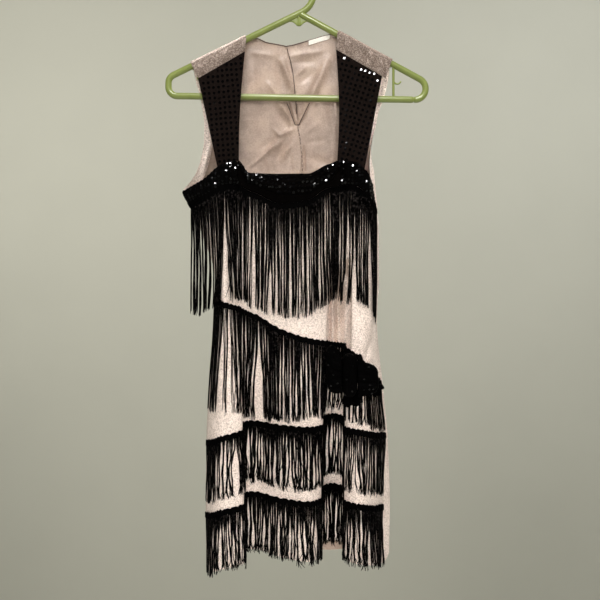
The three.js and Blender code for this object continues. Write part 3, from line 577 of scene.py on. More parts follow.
# the band's ground is much darker than the straps': partly a blacker cloth, partly painted shade
gatheredGroundWithShade = clothMaterial("gatheredGroundWithShade", (0.0035, 0.0025, 0.0022), (0.0006, 0.0005, 0.0005),
                               0.7, 1100, 0.6, 0.4, 120, Specular_IOR_Level=0.03)
crushedGround = clothMaterial("crushedGround", (0.0014, 0.0012, 0.0012), (0.0007, 0.0006, 0.0006),
                              0.7, 1100, 0.4, 0.4, Specular_IOR_Level=0.05)
tapeCloth = clothMaterial("headingTape", (0.0022, 0.0019, 0.0019), (0.0010, 0.0009, 0.0009),
                          0.8, 1000, 0.3, 0.5, Specular_IOR_Level=0.03)
labelCloth = clothMaterial("labelSatin", (0.96, 0.91, 0.83), (0.86, 0.8, 0.71), 0.5, 1400, 0.3, 0.2)
edgeThreadAndShadowLines = clothMaterial("edgeThreadAndShadowLines", (0.085, 0.055, 0.044), (0.05, 0.032, 0.025), 0.7, 3000, 0.3, 0.2)
stitchThread = clothMaterial("stitchThread", (0.85, 0.72, 0.62), (0.6, 0.48, 0.4), 0.5, 3000, 0.2, 0.2)
sequin = sequinMaterial()
thread = threadMaterial()
plastic = plasticMaterial()
print("finishes made")


# front panel

frontPanel = {
    "columns": 300, "rows": 138,
    "creases": [  # from x, z to x, z, then width and height
        (51, -472, 50, -594, 2.3, -13.0), (77, -455, 76, -598, 3.2, -28.0), (64, -472, 64, -600, 7.5, -26.0),
        (66, -596, 72, -570, 2.5, 1.4), (112, -580, 103, -612, 3.5, -2.2), (106, -560, 95, -596, 7, 1.8),
        (120, -520, 112, -560, 6, 1.5), (88, -500, 90, -580, 5, 1.3), (-60, -560, -20, -592, 10, 1.8),
        (0, -560, 30, -586, 7, 1.4), (-96, -360, -98, -500, 7, 1.6), (-130, -690, -92, -706, 9, 1.4),
        (-118, -712, -112, -728, 6, -1.2), (-118, -800, -96, -812, 7, 1.4), (-60, -702, 0, -708, 6, 1.2),
        (-80, -816, -20, -826, 6, 1.5), (98, -700, 116, -716, 6, 1.6), (84, -806, 112, -822, 6, 1.6),
        (104, -880, 96, -920, 5, -1.4), (-76, -860, -72, -905, 5, 1.2),
    ],
}


def frontPanelFace(lift):
    # rows run from under the bust band to the hem, columns from seam to seam
    s = np.linspace(0, lastFold, frontPanel["columns"])[None, :]
    v = np.linspace(0, 1, frontPanel["rows"])[:, None]
    z = mix(foldCurve["bandTop"](s) - 5, hemAt(s), v)
    return frontAt(s, z, lift, creaseRelief(frontPanel["creases"]))


frontCloth = clothPiece("front_panel", "foil_knit", frontPanelFace, [foil, wrongSide])
print("front panel made")


# the hanger's sizes, and its arms, which the shoulders follow

hanger = {
    "tube": 5.2, "crown": 23, "neck": 33, "neckStart": 5, "stem": 8.4, "tip": 8,
    "leftSlope": 26.0, "rightSlope": 28.3, "leftEnd": -196, "rightEnd": 187,
    "leftBend": 14, "rightBend": 17, "barLeft": -132, "barRight": -138,
    "strut": 151, "strutRadius": 2.0, "pegBend": 6, "pegRadius": 1.5, "web": 2.4,
}
bendRise = (hanger["neck"] * math.cos(math.radians(hanger["leftSlope"]))
            + hanger["neckStart"] * math.sin(math.radians(hanger["leftSlope"])))
apexZ = -(bendRise + hanger["stem"] + hanger["crown"] - hanger["tube"])


def armZ(x):
    slope = np.where(np.asarray(x) < 0, -math.tan(math.radians(hanger["leftSlope"])),
                     math.tan(math.radians(hanger["rightSlope"])))
    return apexZ - x * slope


# back

backFolds = {  # bust x, bust out, hem x, hem out, top x of the lines between turned edge and centre seam
    "left": [(-108, -15, -102, -33, -84), (-52, -17, -50, -21, -52)],
    "right": [(92, -14, 98, -31, 60), (50, -17, 47, -20, 22)],
}
back = {
    "columns": 120, "skirtRows": 50, "topRows": 112, "creaseGain": 1.7,
    "centreBust": -16, "centreHem": -34, "hem": -922, "centreUnderarm": -340,
    "faced": 1.05, "slitTop": -112, "slitEnd": -216, "lap": 0.5, "lapDepth": 0.8, "lapLow": -330,
    "shoulderOut": -7.0, "neckOut": -8.5, "roll": 0.7,
    "ledge": {"depth": 0.8, "width": 15, "top": -232, "low": -420},
    "left": {"tip": -171, "underarm": -340, "turnTop": -138, "inwards": 1},
    "right": {"tip": 146, "underarm": -333, "turnTop": 118, "inwards": -1},
    "placket": {"top": -186, "low": -233.8, "left": (-24, -6.4), "right": (24, 0), "depth": 0.5},
    "creases": [  # a trough here bulges towards someone who looks in through the neck
        (-140, -262, -157, -322, 4.5, -2.6), (-150, -240, -166, -318, 3, 1.6),
        (130, -214, 122, -262, 3, -1.8), (126, -236, 118, -318, 2.6, 1.6), (138, -170, 132, -212, 3.5, -1.4),
        (46, -131, 4, -224, 6.5, -3.4), (58, -130, 22, -214, 7, 0.8), (-12, -124, 34, -117, 4, -1.8),
        (-8, -134, 22, -132, 5, 1.6), (-2, -154, 10, -142, 3.5, -1.4), (2, -166, 24, -150, 5, 1.0),
        (-27, -132, -10, -178, 4.5, -2.8), (-38, -128, -24, -178, 6, 1.4), (-49, -168, -37, -186, 3.5, -1.5),
        (-60, -176, -44, -196, 5, 1.0), (-33, -198, -10, -232, 3.6, -3.4), (-40, -206, -18, -238, 5, 1.2),
        (-17, -198, -7, -232, 1.7, 3.0), (-5, -199, -2, -228, 1.4, 2.2), (19, -200, 4, -230, 2.2, 2.6),
        (14, -204, 1, -230, 2.6, -1.8), (-9, -234, 3, -234, 1.5, 2.2), (-41, -241, -29, -254, 3, -2.2),
        (-31, -251, -10, -242, 3.6, -3.0), (-28, -258, -54, -281, 5, -2.6), (-40, -256, -62, -272, 5, 1.6),
        (-12, -262, -27, -291, 4, -2.4), (-22, -258, -38, -292, 4, 1.6), (-80, -302, -38, -266, 2.4, -1.2),
        (-55, -282, -46, -308, 3, -1.2), (14, -246, 30, -232, 4, -1.0), (12, -262, 44, -258, 5, 0.9),
        (40, -196, 46, -232, 5, 0.9), (-76, -140, -70, -190, 7, -1.2), (-70, -205, -60, -250, 7, -1.0),
        (12, -286, 52, -296, 8, 2.2), (-76, -118, -40, -124, 4, -1.0), (8, -268, 9, -312, 2.0, 2.0),
        (-90, -420, -30, -500, 18, 2.0), (20, -430, 80, -520, 18, 2.0), (-100, -600, -60, -680, 16, 1.6),
        (60, -620, 90, -720, 16, 1.8), (-40, -720, -30, -860, 12, 1.8), (30, -740, 40, -880, 12, 1.8),
        (118, -800, 128, -830, 7, 2.2), (112, -850, 126, -880, 8, -2.0), (90, -880, 122, -905, 8, 1.6),
        (-120, -780, -100, -850, 10, 1.6), (0, -560, 20, -640, 12, 1.4),
    ],
}
armholes = {
    "left": [(-340, -183), (-326, -171), (-312, -163), (-292, -156.5), (-260, -152), (-236, -152),
             (-212, -155), (-187, -159.5), (-168, -165), (-140, -171)],
    "right": [(-333, 115), (-300, 113), (-280, 114.5), (-260, 118), (-236, 124), (-215, 128),
              (-204, 132), (-188, 138), (-152, 145), (-138, 146)],
}
armholeX = {side: calmCurve(*np.array(rows).T) for side, rows in armholes.items()}
neckZ = calmCurve([-84, -68, -52, -21, -3, 22, 50, 60], [-98, -95, -101, -107.5, -106, -96, -88.5, -87])
centreX = calmCurve([-108, -150, -185, -200, -234, -262, -311, -420, -945],
                    [-20.5, -10.5, -6.8, -5.2, -2.6, 2, 5, 4, 0])


def backPlaces(side, z):
    rows = [sidePlace(side + "Seam", z) - [0, 2 * dress["seamGap"]], sidePlace(side + "Turn", z)]
    for bustX, bustOut, hemX, hemOut, _ in backFolds[side]:
        rows.append(np.stack([mix(bustX, hemX, share(z)), mix(bustOut, hemOut, share(z))], -1))
    rows.append(np.stack([centreX(z), mix(back["centreBust"], back["centreHem"], share(z))], -1))
    return np.stack(rows)


def slitTurnback(x, z):
    # the turned-back edges of the slit make a shallow V that ends at the bar tack: 1 inside it
    turnback = back["placket"]
    fallen = (z - turnback["top"]) / (turnback["low"] - turnback["top"])
    inwardGap = np.minimum(x - mix(*turnback["left"], fallen), mix(*turnback["right"], fallen) - x)
    return ease(inwardGap / 0.9 + 0.5) * ease((z - turnback["low"]) / 0.8 + 0.5) * ease(fallen / 0.15)


def seamLedge(x, z):
    # below the slit the seam allowance lies under the left cloth as a low ledge beside the seam
    ledge = back["ledge"]
    under = ease((ledge["width"] - (centreX(z) - x)) / 1.2)
    return ledge["depth"] * under * ease((ledge["top"] - z) / 3) * ease((z - ledge["low"]) / 20)


def backAt(side, s, row, off):
    # rows 0 to 1 climb from the hem to the underarm, 1 to 2 from there to shoulder and neckline;
    # s runs from the side seam over the turned edge to the centre seam
    s, row = (np.array(a, float) for a in np.broadcast_arrays(s, row))
    edge, inwards = back[side], back[side]["inwards"]
    hem = dress["hemLevel"] - fold["drop"][0 if side == "left" else -1]
    underarm = mix(edge["underarm"], back["centreUnderarm"], ease(s / 4))
    z0 = mix(mix(hem, back["hem"], ease(s)), underarm, np.minimum(1, row))
    x, out, nx, nOut = (a.reshape(s.shape) for a in onLine(backPlaces(side, z0.ravel()), s.ravel(), -inwards))
    v = np.clip(row - 1, 0, 1)
    tops = [edge["tip"], edge["turnTop"], *(f[4] for f in backFolds[side]), float(centreX(-108))]
    topX = calmCurve(range(5), tops)(s)
    topZ = mix(armZ(topX), neckZ(topX), ease((s - 1.9) / 0.2))
    z = np.where(row > 1, mix(underarm, topZ, v), z0)
    edgeZ = mix(edge["underarm"], armZ(edge["tip"]), v)
    edgeX = mix(armholes[side][0][1], edge["tip"], v)
    climb = mix(x, topX, v) + (armholeX[side](edgeZ) - edgeX) * (1 - s / 4) ** 1.5
    climb = climb + (centreX(z) - climb) * ease(s - 3)
    x = np.where(row > 1, climb, x)
    topOut = mix(back["shoulderOut"], back["neckOut"], np.clip(s - 2, 0, 1))
    out = np.where(row > 1, mix(out, topOut, ease(v * 1.5)), out)
    lapped = ease((s - 3.7) / 0.3) * ease((z - back["lapLow"]) / 40)
    x = x + inwards * mix(-dress["seamGap"] / 2, back["lap"], lapped) * ease(s - 3)
    nx, nOut = mix(nx, 0, ease(v * 3)), mix(nOut, -1, ease(v * 3))
    nx, nOut = mix(nx, 0, ease(s - 3)), mix(nOut, -1, ease(s - 3))
    size = np.hypot(nx, nOut)
    hold = ease(s * 2) * ease((2 - row) * 12) * ease((4 - s) * 6 + 0.3)
    off = off + back["creaseGain"] * creaseRelief(back["creases"])(x, z) * hold
    off = off - back["roll"] * bell(2 - row, 0.014) * ease((s - 1.9) * 5)  # the neckline is rolled over
    off = off - inwards * back["lapDepth"] * lapped  # seen from inside, the left laps over the right
    off = off + back["placket"]["depth"] * slitTurnback(x, z)
    if side == "left":
        off = off - seamLedge(x, z)
    return np.stack([x + nx / size * off, -(out + nOut / size * off), z], -1)


def faceArmhole(piece, columns):
    # above the underarm the armhole's edge shows the right side of the cloth on both faces
    slots = np.zeros(len(piece.data.polygons), np.int32)
    piece.data.polygons.foreach_get("material_index", slots)
    count = (len(slots) - 2 * (back["columns"] + back["skirtRows"] + back["topRows"] - 3)) // 2
    inner = slots[count:2 * count].reshape(-1, back["columns"] - 1)
    inner[back["skirtRows"] - 6:, :columns] = 0
    piece.data.polygons.foreach_set("material_index", slots)


backCloth = {}
for side in ("left", "right"):
    s = 4 * (1 - (1 - np.linspace(0, 1, back["columns"])) ** 1.35)[None, :]
    row = np.concatenate([np.linspace(0, 1, back["skirtRows"])[:-1],
                          2 - (1 - np.linspace(0, 1, back["topRows"])) ** 1.2])[:, None]
    backCloth[side] = clothPiece(f"back_{side}", "foil_knit", lambda lift: backAt(side, s, row, lift),
                                 [foil, wrongSide])
    faceArmhole(backCloth[side], int((s[0] < back["faced"]).sum()))


def stitchRow(points, length, gap, radius):
    # short straight stitches along a line of points, each a thin tube
    run = runAlong(points)
    start = np.arange(0, run[-1] - length, length + gap)
    at = start[:, None] + np.linspace(0, length, 4)[None, :]
    paths = np.stack([np.interp(at, run, points[:, k]) for k in range(3)], -1)
    return tubeArrays(paths, radius * np.array([0.6, 1, 1, 0.6])[None, :], 5)


overlock = {"radius": 0.58, "pitch": 2.4, "wave": 0.25, "lift": -0.4}
seam = {  # two rows of stitches beside the centre seam, from its top down to row "low"; the dark "edge" row stands for the seam's shadow line, painted shadow
    "top": 1.43, "low": 0.9, "gap": 1.6,
    "edge": {"place": 3.975, "spots": 90, "length": 5.5, "radius": 0.45, "lift": -0.3},
    "pale": {"place": 3.93, "spots": 80, "length": 2.6, "radius": 0.4, "lift": -0.25},
}


def seamRow(name):
    look = seam[name]
    line = backAt("left", np.full(look["spots"], look["place"]),
                  np.linspace(seam["top"], seam["low"], look["spots"]), look["lift"])
    return stitchRow(line, look["length"], seam["gap"], look["radius"])


def overlocked(points):
    # a thick edge thread that zigzags across a line of points; along the slit and the V it is a painted
    # shadow line
    path = evenPath(points, 0.5)
    along = np.gradient(path, axis=0)
    across = np.cross(along / np.linalg.norm(along, axis=1, keepdims=True), [0.0, 1.0, 0.0])
    zigzag = overlock["wave"] * np.sin(np.arange(len(path)) * 0.5 / overlock["pitch"] * 2 * np.pi)
    return tubeArrays((path + across * zigzag[:, None])[None], overlock["radius"], 5)


grid = np.meshgrid(np.linspace(1.6, 4, 120), np.linspace(1.3, 2, 200))
neckSpots = np.concatenate([backAt(side, *grid, 0.0).reshape(-1, 3) for side in ("left", "right")])


def laidOnBack(x, z, lift):
    # points over the back's inner face: the depth of the nearest spot of cloth, and a little nearer
    away = (x[:, None] - neckSpots[None, :, 0]) ** 2 + (z[:, None] - neckSpots[None, :, 2]) ** 2
    depth = np.sort(neckSpots[np.argpartition(away, 6, axis=1)[:, :6], 1], axis=1)[:, 1]
    return np.stack([x, depth + lift, z], -1)


neckline = np.linspace(2.0, 3.99, 120), np.full(120, 1.995)
lines = [backAt(side, *neckline, overlock["lift"]) for side in ("left", "right")]
# the dark threads along the slit and along both turned-back edges of the V stand for their thin shadow lines:
# painted shadow
slitZ = np.linspace(back["slitTop"], back["slitEnd"], 90)
lines.append(laidOnBack(centreX(slitZ) + back["lap"], slitZ, overlock["lift"]))
turnback = back["placket"]
fallen = np.linspace(0.3, 1, 60)
turnbackZ = mix(turnback["top"], turnback["low"], fallen)
for side in ("left", "right"):
    lines.append(laidOnBack(mix(*turnback[side], fallen), turnbackZ, overlock["lift"]))
tackX = np.linspace(turnback["left"][1], turnback["right"][1], 20)
lines.append(laidOnBack(tackX, np.full(20, turnback["low"]), overlock["lift"]))
edging = smallPiece("neck_edge_threads_and_shadow_lines", "foil_knit",
                    joined([overlocked(line) for line in lines] + [seamRow("edge")]), edgeThreadAndShadowLines)
stitches = smallPiece("centre_seam_stitches", "foil_knit", seamRow("pale"), stitchThread)
print("back made")


# yokes over the hanger's arms

yoke = {
    "columns": 90, "legRows": 26, "turnRows": 18, "backLeg": 6, "puff": 0.8,
    "left": {"tip": -171, "neck": -84, "frontTip": (-160.6, -163.4), "frontNeck": (-86, -120.5)},
    "right": {"tip": 147, "neck": 61, "frontTip": (138, -163), "frontNeck": (59, -117.5)},
    "creases": {
        "left": [(-96, -106, -100, -124, 4, -1.0), (-112, -114, -122, -138, 5, 1.2),
                 (-140, -130, -146, -150, 5, -0.9), (-158, -142, -150, -156, 4, 1.0)],
        "right": [(70, -102, 72, -124, 2.4, -1.8), (78, -104, 82, -126, 5, 1.2),
                  (104, -114, 108, -138, 3.6, -2.4), (113, -119, 119, -143, 2.4, 2.6),
                  (124, -128, 127, -150, 3, -1.8), (92, -110, 98, -132, 6, -0.8),
                  (132, -136, 134, -156, 3, 1.4)],
    },
}


def yokeAt(side, a, t, lift):
    # a runs from the tip to the neck; t climbs the front leg from -1 to 0, turns over the tube
    # from 0 to 1 and goes down the short back leg to 2
    y = yoke[side]
    x = mix(y["tip"], y["neck"], a)
    axis = np.stack(np.broadcast_arrays(x, 0.0, armZ(x)), -1) + t[..., None] * 0
    slope = math.radians(hanger["leftSlope"] if side == "left" else -hanger["rightSlope"])
    up = np.array([-math.sin(slope), 0, math.cos(slope)])
    radius = hanger["tube"] + dress["seamGap"] + lift
    front = [mix(y["frontTip"][k], y["frontNeck"][k], a) for k in (0, 1)]
    leg = np.clip(-t, 0, 1)
    turned = np.pi * np.clip(t, 0, 1)
    legX, legZ = (mix(axis[..., k], end, leg) for k, end in zip((0, 2), front))
    relief = creaseRelief(yoke["creases"][side])(legX, legZ) * np.sin(np.pi * leg) ** 0.6
    points = axis + up * (radius * np.sin(turned))[..., None]
    points[..., 0] = np.where(t < 0, legX, points[..., 0])
    points[..., 2] = np.where(t < 0, legZ, points[..., 2])
    points[..., 1] = -(radius + relief + yoke["puff"] * np.sin(np.pi * leg)) * np.cos(turned)
    points[..., 2] -= np.clip(t - 1, 0, 1) * yoke["backLeg"]
    return points


yokeCloth = {}
for side in ("left", "right"):
    a = np.linspace(0, 1, yoke["columns"])[None, :]
    t = np.concatenate([np.linspace(-1, 0, yoke["legRows"])[:-1], np.linspace(0, 1, yoke["turnRows"])[:-1],
                        np.linspace(1, 2, 5)])[:, None]
    t = t + a * 0
    yokeCloth[side] = clothPiece(f"yoke_{side}", "foil_knit", lambda lift: yokeAt(side, a, t, lift),
                                 [yokeFoil, wrongSide])
print("yokes made")


# sequins

sequinShape = {
    "radius": 2.3, "sides": 10, "dome": 0.16, "shoulder": 0.13, "wall": 0.25,
    "loose": 0.06, "swing": 0.3,  # the share that hangs askew, and how far
}


def sequinArrays(centres, normals, radius, tilt, seed):
    # a shallow cup for each centre: a raised middle, a shoulder ring, a rim and a flat underside
    rng = np.random.default_rng(seed)
    count, sides = len(centres), sequinShape["sides"]
    loose = rng.random((count, 1)) < sequinShape["loose"]
    normals = normals + rng.normal(0, 1, normals.shape) * np.where(loose, sequinShape["swing"], tilt)
    normals /= np.linalg.norm(normals, axis=1, keepdims=True)
    first = np.cross(normals, [0.0, 0.0, 1.0])
    first /= np.linalg.norm(first, axis=1, keepdims=True)
    second = np.cross(normals, first)
    angle = 2 * np.pi * np.arange(sides) / sides
    ring = np.cos(angle)[:, None] * first[:, None] + np.sin(angle)[:, None] * second[:, None]
    middle, lift = centres[:, None], normals[:, None]
    layers = np.concatenate([
        middle + lift * sequinShape["dome"], middle + ring * radius * 0.6 + lift * sequinShape["shoulder"],
        middle + ring * radius + lift * 0.05, middle + ring * radius * 0.98 - lift * sequinShape["wall"],
    ], 1)
    k = np.arange(sides)
    n = (k + 1) % sides
    start = (np.arange(count) * (1 + 3 * sides))[:, None, None]
    top = np.stack([k * 0, 1 + k, 1 + n], -1)
    rim = np.concatenate([np.stack([1 + j * sides + k, 1 + (j + 1) * sides + k, 1 + (j + 1) * sides + n,
                                    1 + j * sides + n], -1) for j in (0, 1)])
    base = np.stack([np.full(sides - 2, 1 + 2 * sides), 2 + 2 * sides + k[1:-1], 1 + 2 * sides + k[1:-1]], -1)
    uv = np.repeat(rng.random((count, 2)) * 1000, 1 + 3 * sides, axis=0)
    tris = (np.concatenate([top, base])[None] + start).reshape(-1, 3)
    return layers.reshape(-1, 3), (rim[None] + start).reshape(-1, 4), tris, uv


viewer = np.array([1.6, -1300.0, -516.4])  # where the camera stands
glintFrom = np.array([-500.0, -1100.0, 900.0])  # where the glint lamp stands


def unit(vectors):
    return vectors / np.maximum(1e-9, np.linalg.norm(vectors, axis=-1, keepdims=True))


def turnedToLight(centres, normals, places):
    # the sequins nearest these places (x, z) hang turned so that they send the glint lamp to the viewer
    for x, z in places:
        nearest = np.argmin(np.hypot(centres[:, 0] - x, centres[:, 2] - z))
        normals[nearest] = unit(unit(viewer - centres[nearest]) + unit(glintFrom - centres[nearest]))
    return normals


def facing(face, u, v, step=1e-3):
    # points of a surface face(u, v), and its normals turned towards the viewer
    alongU, alongV = face(u + step, v) - face(u - step, v), face(u, v + step) - face(u, v - step)
    normal = unit(np.cross(alongU, alongV))
    return face(u, v), normal * np.where(normal[:, 1] > 0, -1, 1)[:, None]


def gridOn(face, columns, rows, keep=None):
    u, v = (a.ravel() for a in np.meshgrid(columns, rows))
    if keep is not None:
        held = keep(u, v)
        u, v = u[held], v[held]
    return facing(face, u, v)


def turnedGridOn(face, middle, turn, pitch, rowPitch, reach, margin):
    # a level grid of spots turned by some degrees about its middle, laid on the face where it has cloth
    a, b = np.meshgrid(np.arange(-reach, reach, pitch), np.arange(-reach, reach, rowPitch))
    level, climb = math.cos(math.radians(turn)), math.sin(math.radians(turn))
    spots = np.array(middle) + np.stack([a * level - b * climb, a * climb + b * level], -1).reshape(-1, 2)
    u, v = (q.ravel() for q in np.meshgrid(np.linspace(0, 1, 60), np.linspace(0, 1, 120)))
    grid = face(u, v)[:, [0, 2]]
    away = ((spots[:, None] - grid[None]) ** 2).sum(-1)
    near = np.argmin(away, axis=1)
    held = (away[np.arange(len(spots)), near] < pitch) & (u[near] > margin) & (u[near] < 1 - margin)
    held &= (v[near] > margin / 2) & (v[near] < 1 - margin / 2)
    return facing(face, u[near[held]], v[near[held]])


# straps

strap = {
    "columns": 46, "rows": 110, "pitch": 7.7, "rowPitch": 8.6, "reach": 120, "margin": 0.045,
    "topOut": 7.0, "barOut": 9.0, "lowOut": 22, "tuck": 3,
    "left": {"outerTop": (-160.6, -163.4), "innerTop": (-86, -120.5), "outerLow": -127.6, "innerLow": -94.5,
             "innerBow": -3, "middle": (-112, -220), "turn": 5, "seed": 11},
    "right": {"outerTop": (132, -160.3), "innerTop": (59, -117.5), "outerLow": 102.4, "innerLow": 59.9,
              "innerBow": 4, "middle": (88, -220), "turn": -18, "seed": 12,
              "glints": [(73, -126), (98, -143), (106, -147), (113, -151), (121, -159), (129, -162),
                         (118, -170)]},
    "creases": {"left": [(-118, -190, -108, -290, 9, 1.0), (-140, -170, -125, -250, 7, -0.9),
                         (-100, -270, -106, -292, 4, 1.2)],
                "right": [(84, -190, 80, -290, 9, 1.0), (112, -175, 98, -260, 7, -1.0),
                          (64, -128, 126, -164, 5, 1.6), (78, -266, 74, -292, 4, 1.2)]},
}
bandS = np.linspace(0, lastFold, 800)
bandTopLine = frontAt(bandS, foldCurve["bandTop"](bandS))


def bandTopAt(x):
    order = np.argsort(bandTopLine[:, 0])
    return np.interp(x, bandTopLine[order, 0], bandTopLine[order, 2])


def strapAt(side, a, v, lift):
    # a: 0 at the outer edge, 1 at the inner one; v: 0 at the yoke, 1 at the band
    a, v = (np.array(q, float) for q in np.broadcast_arrays(a, v))
    shape = strap[side]
    gap = 2 * dress["seamGap"]
    topX = mix(shape["outerTop"][0], shape["innerTop"][0], a)
    topZ = mix(shape["outerTop"][1], shape["innerTop"][1], a) - gap
    lowX = mix(shape["outerLow"], shape["innerLow"], a)
    x = mix(topX, lowX, v) + shape["innerBow"] * np.sin(np.pi * v) * a
    z = mix(topZ, bandTopAt(lowX) - strap["tuck"], v)
    out = mix(mix(strap["topOut"], strap["barOut"], ease(v / 0.3)), strap["lowOut"], ease((v - 0.25) / 0.75))
    out = out + creaseRelief(strap["creases"][side])(x, z)
    return np.stack([x, -(out + lift), z], -1)


strapCloth, strapSequins = {}, {}
for side in ("left", "right"):
    a = np.linspace(0, 1, strap["columns"])[None, :]
    v = np.linspace(0, 1, strap["rows"])[:, None]
    strapCloth[side] = clothPiece(f"strap_{side}", "sequin_cloth", lambda lift: strapAt(side, a, v, lift),
                                  [knitGround])
    shape = strap[side]
    centres, normals = turnedGridOn(lambda p, q: strapAt(side, p, q, dress["cloth"] + 0.3), shape["middle"],
                                    shape["turn"], strap["pitch"], strap["rowPitch"], strap["reach"],
                                    strap["margin"])
    normals = turnedToLight(centres, normals, shape.get("glints", ()))
    parts = sequinArrays(centres, normals, sequinShape["radius"], 0.035, shape["seed"])
    strapSequins[side] = smallPiece(f"strap_{side}_sequins", "sequin_cloth", parts, sequin)
print("straps made")


# bust band

band = {
    "columns": 420, "rows": 34, "cowl": 5, "middle": 6.2, "spread": 1.6,
    "puffs": [(3.0, 1.1, 7.0), (11.6, 1.5, 6.0)],  # fold place, reach in folds and height of each gather
    "pleat": 0.95, "pleatDepth": 1.5,
    "swag": (3.7, 10.4), "swagDrop": 0.74, "swagRise": 2.6, "swagFolds": ((0.1, 1.4), (0.3, 1.6), (0.5, 1.5)),
    "pitch": 6.6, "sequinRows": 7, "tilt": 0.09, "swagHalf": 62, "swagTilt": 0.3, "swagJitter": 0.8,
    "seed": 21,
    "glints": [(-98, -304), (-109, -304), (-113, -313), (-99, -310), (-85, -314), (-155, -337), (-130, -333),
               (-54, -335), (28, -332), (11, -324), (56, -306), (86, -306), (62, -326), (91, -313),
               (103, -330)],
}


def swagLow(s):
    # how far down the band the draped middle reaches at fold place s, 0 outside it
    start, end = band["swag"]
    return band["swagDrop"] * np.sin(np.pi * np.clip((s - start) / (end - start), 0, 1)) ** 0.6


def bandRelief(s, v):
    # gathers fan out below each strap; the draped middle stands proud down to its lower edge,
    # with soft folds that run across it from strap to strap
    rise = np.zeros(np.broadcast(s, v).shape)
    for place, reach, height in band["puffs"]:
        fan = (s - place) * (1 - 0.35 * v)
        pleats = np.cos(fan * 2 * np.pi / band["pleat"]) + 0.6 * np.cos(fan * 15 + 5 * v + place)
        rise = rise + bell(s - place, reach) * (height * np.sin(np.pi * np.clip(v, 0, 1) ** 0.7) ** 0.7
                                                + band["pleatDepth"] * pleats * ease(v * 4) * (1 - 0.5 * v))
    low = swagLow(s)
    inside = ease((low - v) / 0.06 + 0.5) * (low > 0.02)
    rise = rise + inside * band["swagRise"]
    for bend, height in band["swagFolds"]:
        rise = rise + inside * height * bell(v - bend * low / band["swagDrop"], 0.06)
    return rise


def bandAt(s, v, lift):
    s, v = (np.array(q, float) for q in np.broadcast_arrays(s, v))
    z = mix(foldCurve["bandTop"](s), bandEdge(s) + 1.5 * dress["seamGap"], v)
    cowl = band["cowl"] * np.sin(np.pi * np.clip(v, 0, 1)) * bell(s - band["middle"], band["spread"])
    return frontAt(s, z, sewnOn + cowl + lift + bandRelief(s, v) * ease(np.minimum(s, lastFold - s)))


s = np.linspace(0, lastFold, band["columns"])[None, :]
v = np.linspace(0, 1, band["rows"])[:, None]
bandCloth = clothPiece("bust_band", "sequin_cloth", lambda lift: bandAt(s, v, lift), [gatheredGroundWithShade])
arc = runAlong(bandAt(bandS, np.full_like(bandS, 0.5), 0))
columns = np.interp(np.arange(3, arc[-1] - 2, band["pitch"]), arc, bandS)
centres, normals = gridOn(lambda a, b: bandAt(a, b, dress["cloth"] + 0.35), columns,
                          np.linspace(0.07, 0.9, band["sequinRows"]),
                          lambda a, b: (swagLow(a) < 0.02) | (b < swagLow(a) - 0.04))
inSwag = (np.abs(centres[:, 0]) < band["swagHalf"])[:, None]
shaken = np.random.default_rng(band["seed"] + 1).normal(0, band["swagJitter"], centres.shape)
centres += inSwag * shaken * [1, 0, 1]
normals = turnedToLight(centres, normals, band["glints"])
parts = sequinArrays(centres, normals, sequinShape["radius"],
                     np.where(inSwag, band["swagTilt"], band["tilt"]), band["seed"])
bandSequins = smallPiece("bust_band_sequins", "sequin_cloth", parts, sequin)
print("bust band made")


# fringe: a heading tape and its threads for each row

